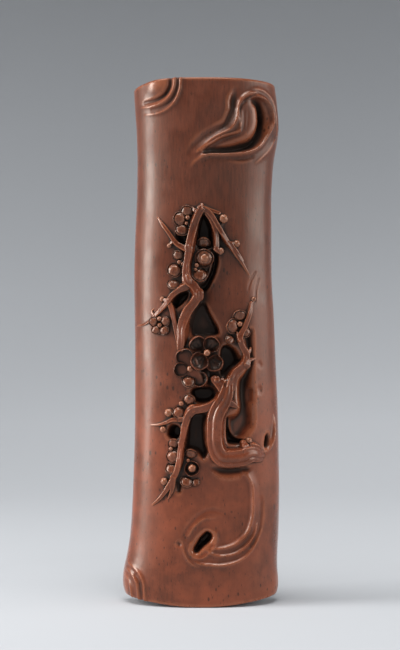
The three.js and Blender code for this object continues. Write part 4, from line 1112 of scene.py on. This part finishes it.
def petal(x, z, radius, lift, middle, cupped, seed):
    """A petal, a cup or a shell, with its veins kept as the "cut" of each point."""
    piece, polar, around = ball(int(34 + 18 * radius), int(22 + 8 * radius))
    form = CUP if cupped else SHELL
    radius *= 1 if cupped else SHELL_GROWTH
    share = np.linspace(0, 1, len(form))
    reach = np.interp(polar / math.pi, share, form[:, 0])
    height = np.interp(polar / math.pi, share, form[:, 1])
    wave = 1 + RIM_WAVES[0] * np.cos(3 * around + seed) + RIM_WAVES[1] * np.cos(5 * around + 2 * seed)
    px, py = reach * np.cos(around) * wave, reach * np.sin(around) * wave
    face = polar < FACE_END * math.pi
    rows = 0.5 + 0.5 * np.cos(2 * math.pi * np.hypot(py, FAN_POINT - px) * radius / STIPPLE)
    fan = np.arctan2(py, FAN_POINT - px)
    vein = face * eased(*VEIN_START, reach) * eased(*VEIN_EDGE, np.cos(2 * VEINS * fan)) * (0.35 + 0.65 * rows)
    if cupped:
        height = np.where(face & (height < 0), height * CUP_DEPTH, height) - VEIN_DEPTH * vein
    else:
        px += SHELL_LEAN * eased(0.75, 0.2, reach) * face
        height -= SHELL_VEIN[0] * VEIN_DEPTH * vein
        vein *= SHELL_VEIN[1]
    tilt = RIM_CURL * eased(-0.3, -1.0, px) - RIM_DROP * eased(0.2, 1.0, px)
    height += np.where(polar < RIM_END * math.pi, tilt, 0)
    stand(piece, (px, py, height), x, z, radius, lift, middle, PETAL_LEAN)
    piece.data.attributes.new("cut", "FLOAT", "POINT").data.foreach_set("value", vein)
    return piece


def knob(x, z, radius, lift, middle, furrow):
    """A round knob, a little flattened, with soft furrows of this depth round it."""
    piece, polar, around = ball(int(20 + 8 * radius), int(12 + 5 * radius))
    rise = 0.9 * np.cos(polar)
    reach = np.sin(polar) * (1 - furrow * eased(0.75, 1.0, np.cos(2.5 * around) ** 2) * np.sin(polar))
    stand(piece, (reach * np.cos(around), reach * np.sin(around), rise), x, z, radius, lift, middle, 0.0)
    return piece


def finished(node, parts):
    """A flower or a bud of the joined parts."""
    pieces[node] = joined(node + "_carving", parts)
    stitched(merge=False)
    belongs(node, BLOSSOM_WOOD)


for node, (middle, petals, knobs) in BLOSSOMS.items():
    parts = []
    for k, (x, z, radius, lift) in enumerate(petals):
        cupped = radius > LARGE_PETAL and node != "blossom_centre"
        parts.append(petal(x, z, radius, lift, middle, cupped, k + len(node)))
    parts += [knob(*form, middle, KNOB_FURROW) for form in knobs]
    finished(node, parts)

# The buds are round, unopened flowers, with the overlap of their petals cut in as soft furrows
for node, (x, z, radius, lift) in BUDS.items():
    finished(node, [knob(x, z, radius, lift, [x, z + 1], BUD_FURROW)])

# Painted shade and highlight, with age and handling: the cuts where little light reaches are painted darker,
# as shade and as wax and dust, and the crests are painted paler, as highlight and as rubbing. Both are
# measured on the carving itself and kept with each mesh, with the petals' veins as shallow cuts.
RAYS = 14
SIGHT = 7 * MM
RAY_START = 0.06
FAR_SHADE = 0.5
BACK_STRIP = 2
FORM_SMOOTHING = 12
CREST_HEIGHT = 0.1
# Painted shade, with dust, added deep in the pockets, in the creases and in the petals' veins
DEEP = (3.0, 7.0)
DEEP_SHADE_AND_DUST = 0.36
CREASE_SHADE_AND_DUST = 0.24
VEIN_SHADE_AND_DUST = 0.3
# A surface whose normal points less far to the back than this is seen from the front
FRONT_SIDE = 0.3
# Darker patches left on the trunk by handling: x, z, half-width, half-height, strength
STAINED = [
    [9, 186, 18, 17, 0.9],
    [13, 214, 7, 13, 0.9],
    [-2, 160, 18, 12, 0.3],
    [24, 206, 8, 16, 0.4],
    [-14, 196, 7, 18, 0.25],
    [14, 96, 12, 30, 0.25],
]
STAIN_FALL = (0.2, 1.1)
GOLDEN = math.pi * (3 - math.sqrt(5))
corners, faces, offset = [], [], 0
for piece in pieces.values():
    corners.append(values_of(piece.data, "co"))
    faces += [tuple(v + offset for v in polygon.vertices) for polygon in piece.data.polygons]
    offset += len(piece.data.vertices)
whole = BVHTree.FromPolygons(np.vstack(corners).tolist(), faces)
spokes = []
for k in range(RAYS):
    rise = math.sqrt(1 - (k + 0.5) / RAYS)
    level = math.sqrt(1 - rise**2)
    spokes.append((level * math.cos(GOLDEN * k), level * math.sin(GOLDEN * k), rise))
for piece, co in zip(pieces.values(), corners):
    mesh = piece.data
    count = len(co)
    normals = values_of(mesh, "normal")
    in_front = normals[:, 1] < FRONT_SIDE
    edges = np.empty(len(mesh.edges) * 2, dtype=int)
    mesh.edges.foreach_get("vertices", edges)
    start, end = edges.reshape(-1, 2).T
    ties = np.maximum(np.bincount(start, minlength=count) + np.bincount(end, minlength=count), 1)[:, None]

    def softened(values, times):
        """Values of the points, each drawn halfway to the mean of its neighbours."""
        for _ in range(times):
            sums = [np.bincount(start, v[end], count) + np.bincount(end, v[start], count) for v in values.T]
            values = 0.5 * values + 0.5 * np.stack(sums, axis=1) / ties
        return values

    away = ((co - softened(co, FORM_SMOOTHING)) * normals).sum(axis=1) / MM
    # Crests painted paler: partly rubbing, partly painted highlight
    wear_and_highlight = softened(np.clip(away / CREST_HEIGHT, 0, 1)[:, None], 2)[:, 0]
    # Rays leave each point in all directions on its open side, turned about its normal from an odd slant
    first = np.cross(normals, [0.31, 0.52, 0.8])
    first /= np.linalg.norm(first, axis=1, keepdims=True)
    second = np.cross(normals, first)
    seen = np.flatnonzero(co[:, 1] < (trunk_high[1] - BACK_STRIP) * MM)
    blocked = np.zeros(count)
    origins = co + normals * RAY_START * MM
    for spoke in spokes:
        directions = first * spoke[0] + second * spoke[1] + normals * spoke[2]
        for i in seen:
            hit = whole.ray_cast(origins[i], directions[i], SIGHT)
            if hit[0] is not None:
                blocked[i] += 1 - hit[3] / SIGHT * FAR_SHADE
    # Painted shade, with wax and dust, where the rays are blocked
    shade_and_dust = softened((blocked / RAYS)[:, None], 3)[:, 0]
    x, y, z = (co / MM - SHIFT).T
    turn = turn_at(x, z)
    depth = (y - plain(turn, z)[:, 1]) * -outward(turn, z)[:, 1]
    # Deep cuts and creases are painted darker still: painted shade, with dust
    shade_and_dust += DEEP_SHADE_AND_DUST * eased(*DEEP, depth) * in_front
    shade_and_dust += CREASE_SHADE_AND_DUST * softened(np.clip(-away / CREST_HEIGHT, 0, 1)[:, None], 2)[:, 0]
    stain = np.zeros(count)
    for *patch, strength in STAINED:
        stain = np.maximum(stain, strength * oval(x, z, patch, STAIN_FALL) * in_front)
    # The petals' veins are painted darker: painted shade in the grooves, with dust
    if "cut" in mesh.attributes:
        veins = np.empty(count)
        mesh.attributes["cut"].data.foreach_get("value", veins)
        shade_and_dust += VEIN_SHADE_AND_DUST * veins
    for label, values in (("wear_and_highlight", wear_and_highlight), ("shade_and_dust", shade_and_dust), ("stain", stain)):
        mesh.attributes.new(label, "FLOAT", "POINT").data.foreach_set("value", values)

# A pale floor that curves up on every side into a backdrop, in metres. It is a little bluer than grey, and
# its colour carries painted light and shade that change with the distance from the middle of the floor:
# painted shade near the trunk and up the wall, paler between.
FLAT_RADIUS = 0.42
BEND = 1.1
WALL = 0.4
PAPER_REACH = 1.6
PAPER_TINT = (1, 1.03, 1.07)
# The paper's shade by distance from the middle, in metres: painted shade near the trunk and up the wall
PAPER_PAINTED_SHADE = [(0.15, 0.49), (0.4, 0.6), (0.7, 0.68), (1.0, 0.64), (1.3, 0.55), (1.5, 0.46)]
quarter = math.pi / 2 * BEND
bpy.ops.object.select_all(action="DESELECT")
bpy.ops.mesh.primitive_grid_add(x_subdivisions=128, y_subdivisions=90, size=1)
floor = bpy.context.active_object
floor.name = floor.data.name = "floor"
co = values_of(floor.data, "co")
turned = (co[:, 0] + 0.5) * 2 * math.pi
run = (co[:, 1] + 0.5) * (FLAT_RADIUS + quarter + WALL)
bend = np.clip((run - FLAT_RADIUS) / BEND, 0, math.pi / 2)
out = np.minimum(run, FLAT_RADIUS) + BEND * np.sin(bend)
rise = BEND * (1 - np.cos(bend)) + np.maximum(run - FLAT_RADIUS - quarter, 0)
places = np.column_stack([out * np.cos(turned), out * np.sin(turned), rise])
floor.data.vertices.foreach_set("co", places.ravel())
stitched(turn=False)
paper = bpy.data.materials.new("grey_paper")
paper.use_nodes = True
tree = paper.node_tree
place = node_output(tree, "TexCoord", "Object", {})
distance = node_output(tree, "VectorMath", "Value", {0: place}, operation="LENGTH")
far = node_output(tree, "MapRange", "Result", {"Value": distance, "From Max": PAPER_REACH})
shades = tree.nodes.new("ShaderNodeValToRGB")
tree.links.new(far, shades.inputs["Fac"])
for reach, shade in PAPER_PAINTED_SHADE:
    stop = shades.color_ramp.elements.new(reach / PAPER_REACH)
    stop.color = (*(tint * shade for tint in PAPER_TINT), 1)
# The ramp's own two stops go, the last one first
for spare in (-1, 0):
    shades.color_ramp.elements.remove(shades.color_ramp.elements[spare])
tree.links.new(shades.outputs["Color"], tree.nodes["Principled BSDF"].inputs["Base Color"])
tree.nodes["Principled BSDF"].inputs["Roughness"].default_value = 0.95
tree.nodes["Principled BSDF"].inputs["Specular IOR Level"].default_value = 0.1
floor.data.materials.append(paper)


# Soft studio light: a tall soft box on each side, nearly level with the trunk, the left one stronger,
# and a broad one above. Grids on the side boxes keep their light off the floor beside them.
GRID_SPREAD = 100


def soft_box(name, place, size, watts, spread=180):
    """A soft box that faces the middle of the trunk: place and size in metres, spread in degrees."""
    target = Vector((0, 0, (TOP_END - FOOT_END) / 2 * MM))
    bpy.ops.object.light_add(type="AREA", location=place)
    lamp = bpy.context.active_object
    lamp.name = name
    lamp.data.shape = "RECTANGLE"
    lamp.data.size, lamp.data.size_y = size
    lamp.data.energy = watts
    lamp.data.spread = math.radians(spread)
    lamp.rotation_euler = (target - Vector(place)).to_track_quat("-Z", "Y").to_euler()


soft_box("left_box", (-0.62, -0.13, 0.27), (0.26, 0.56), 2.1, GRID_SPREAD)
soft_box("right_box", (0.8, -0.22, 0.3), (0.8, 0.56), 1.8, GRID_SPREAD)
soft_box("top_box", (-0.1, -0.3, 1.2), (0.9, 0.45), 13)
world = bpy.context.scene.world or bpy.data.worlds.new("studio")
bpy.context.scene.world = world
world.use_nodes = True
world.node_tree.nodes["Background"].inputs["Color"].default_value = (0.8, 0.82, 0.85, 1)
world.node_tree.nodes["Background"].inputs["Strength"].default_value = 0.14

# The camera stands level with the middle of the trunk, straight in front of it
CAMERA_X = -0.4
CAMERA_Z = 122.8
CAMERA_BEFORE_CREST = 660
VIEW_HEIGHT = math.radians(24.4)
crest_y = -section(np.array([CAMERA_Z]))[2][0]
bpy.ops.object.camera_add(
    location=[float(c) * MM for c in np.array([CAMERA_X, crest_y - CAMERA_BEFORE_CREST, CAMERA_Z]) + SHIFT],
    rotation=(math.pi / 2, 0, 0),
)
camera = bpy.context.active_object
camera.data.sensor_fit = "VERTICAL"
camera.data.sensor_height = 24
camera.data.lens = camera.data.sensor_height / 2 / math.tan(VIEW_HEIGHT / 2)
bpy.context.scene.camera = camera
bpy.context.scene.view_settings.view_transform = "Standard"
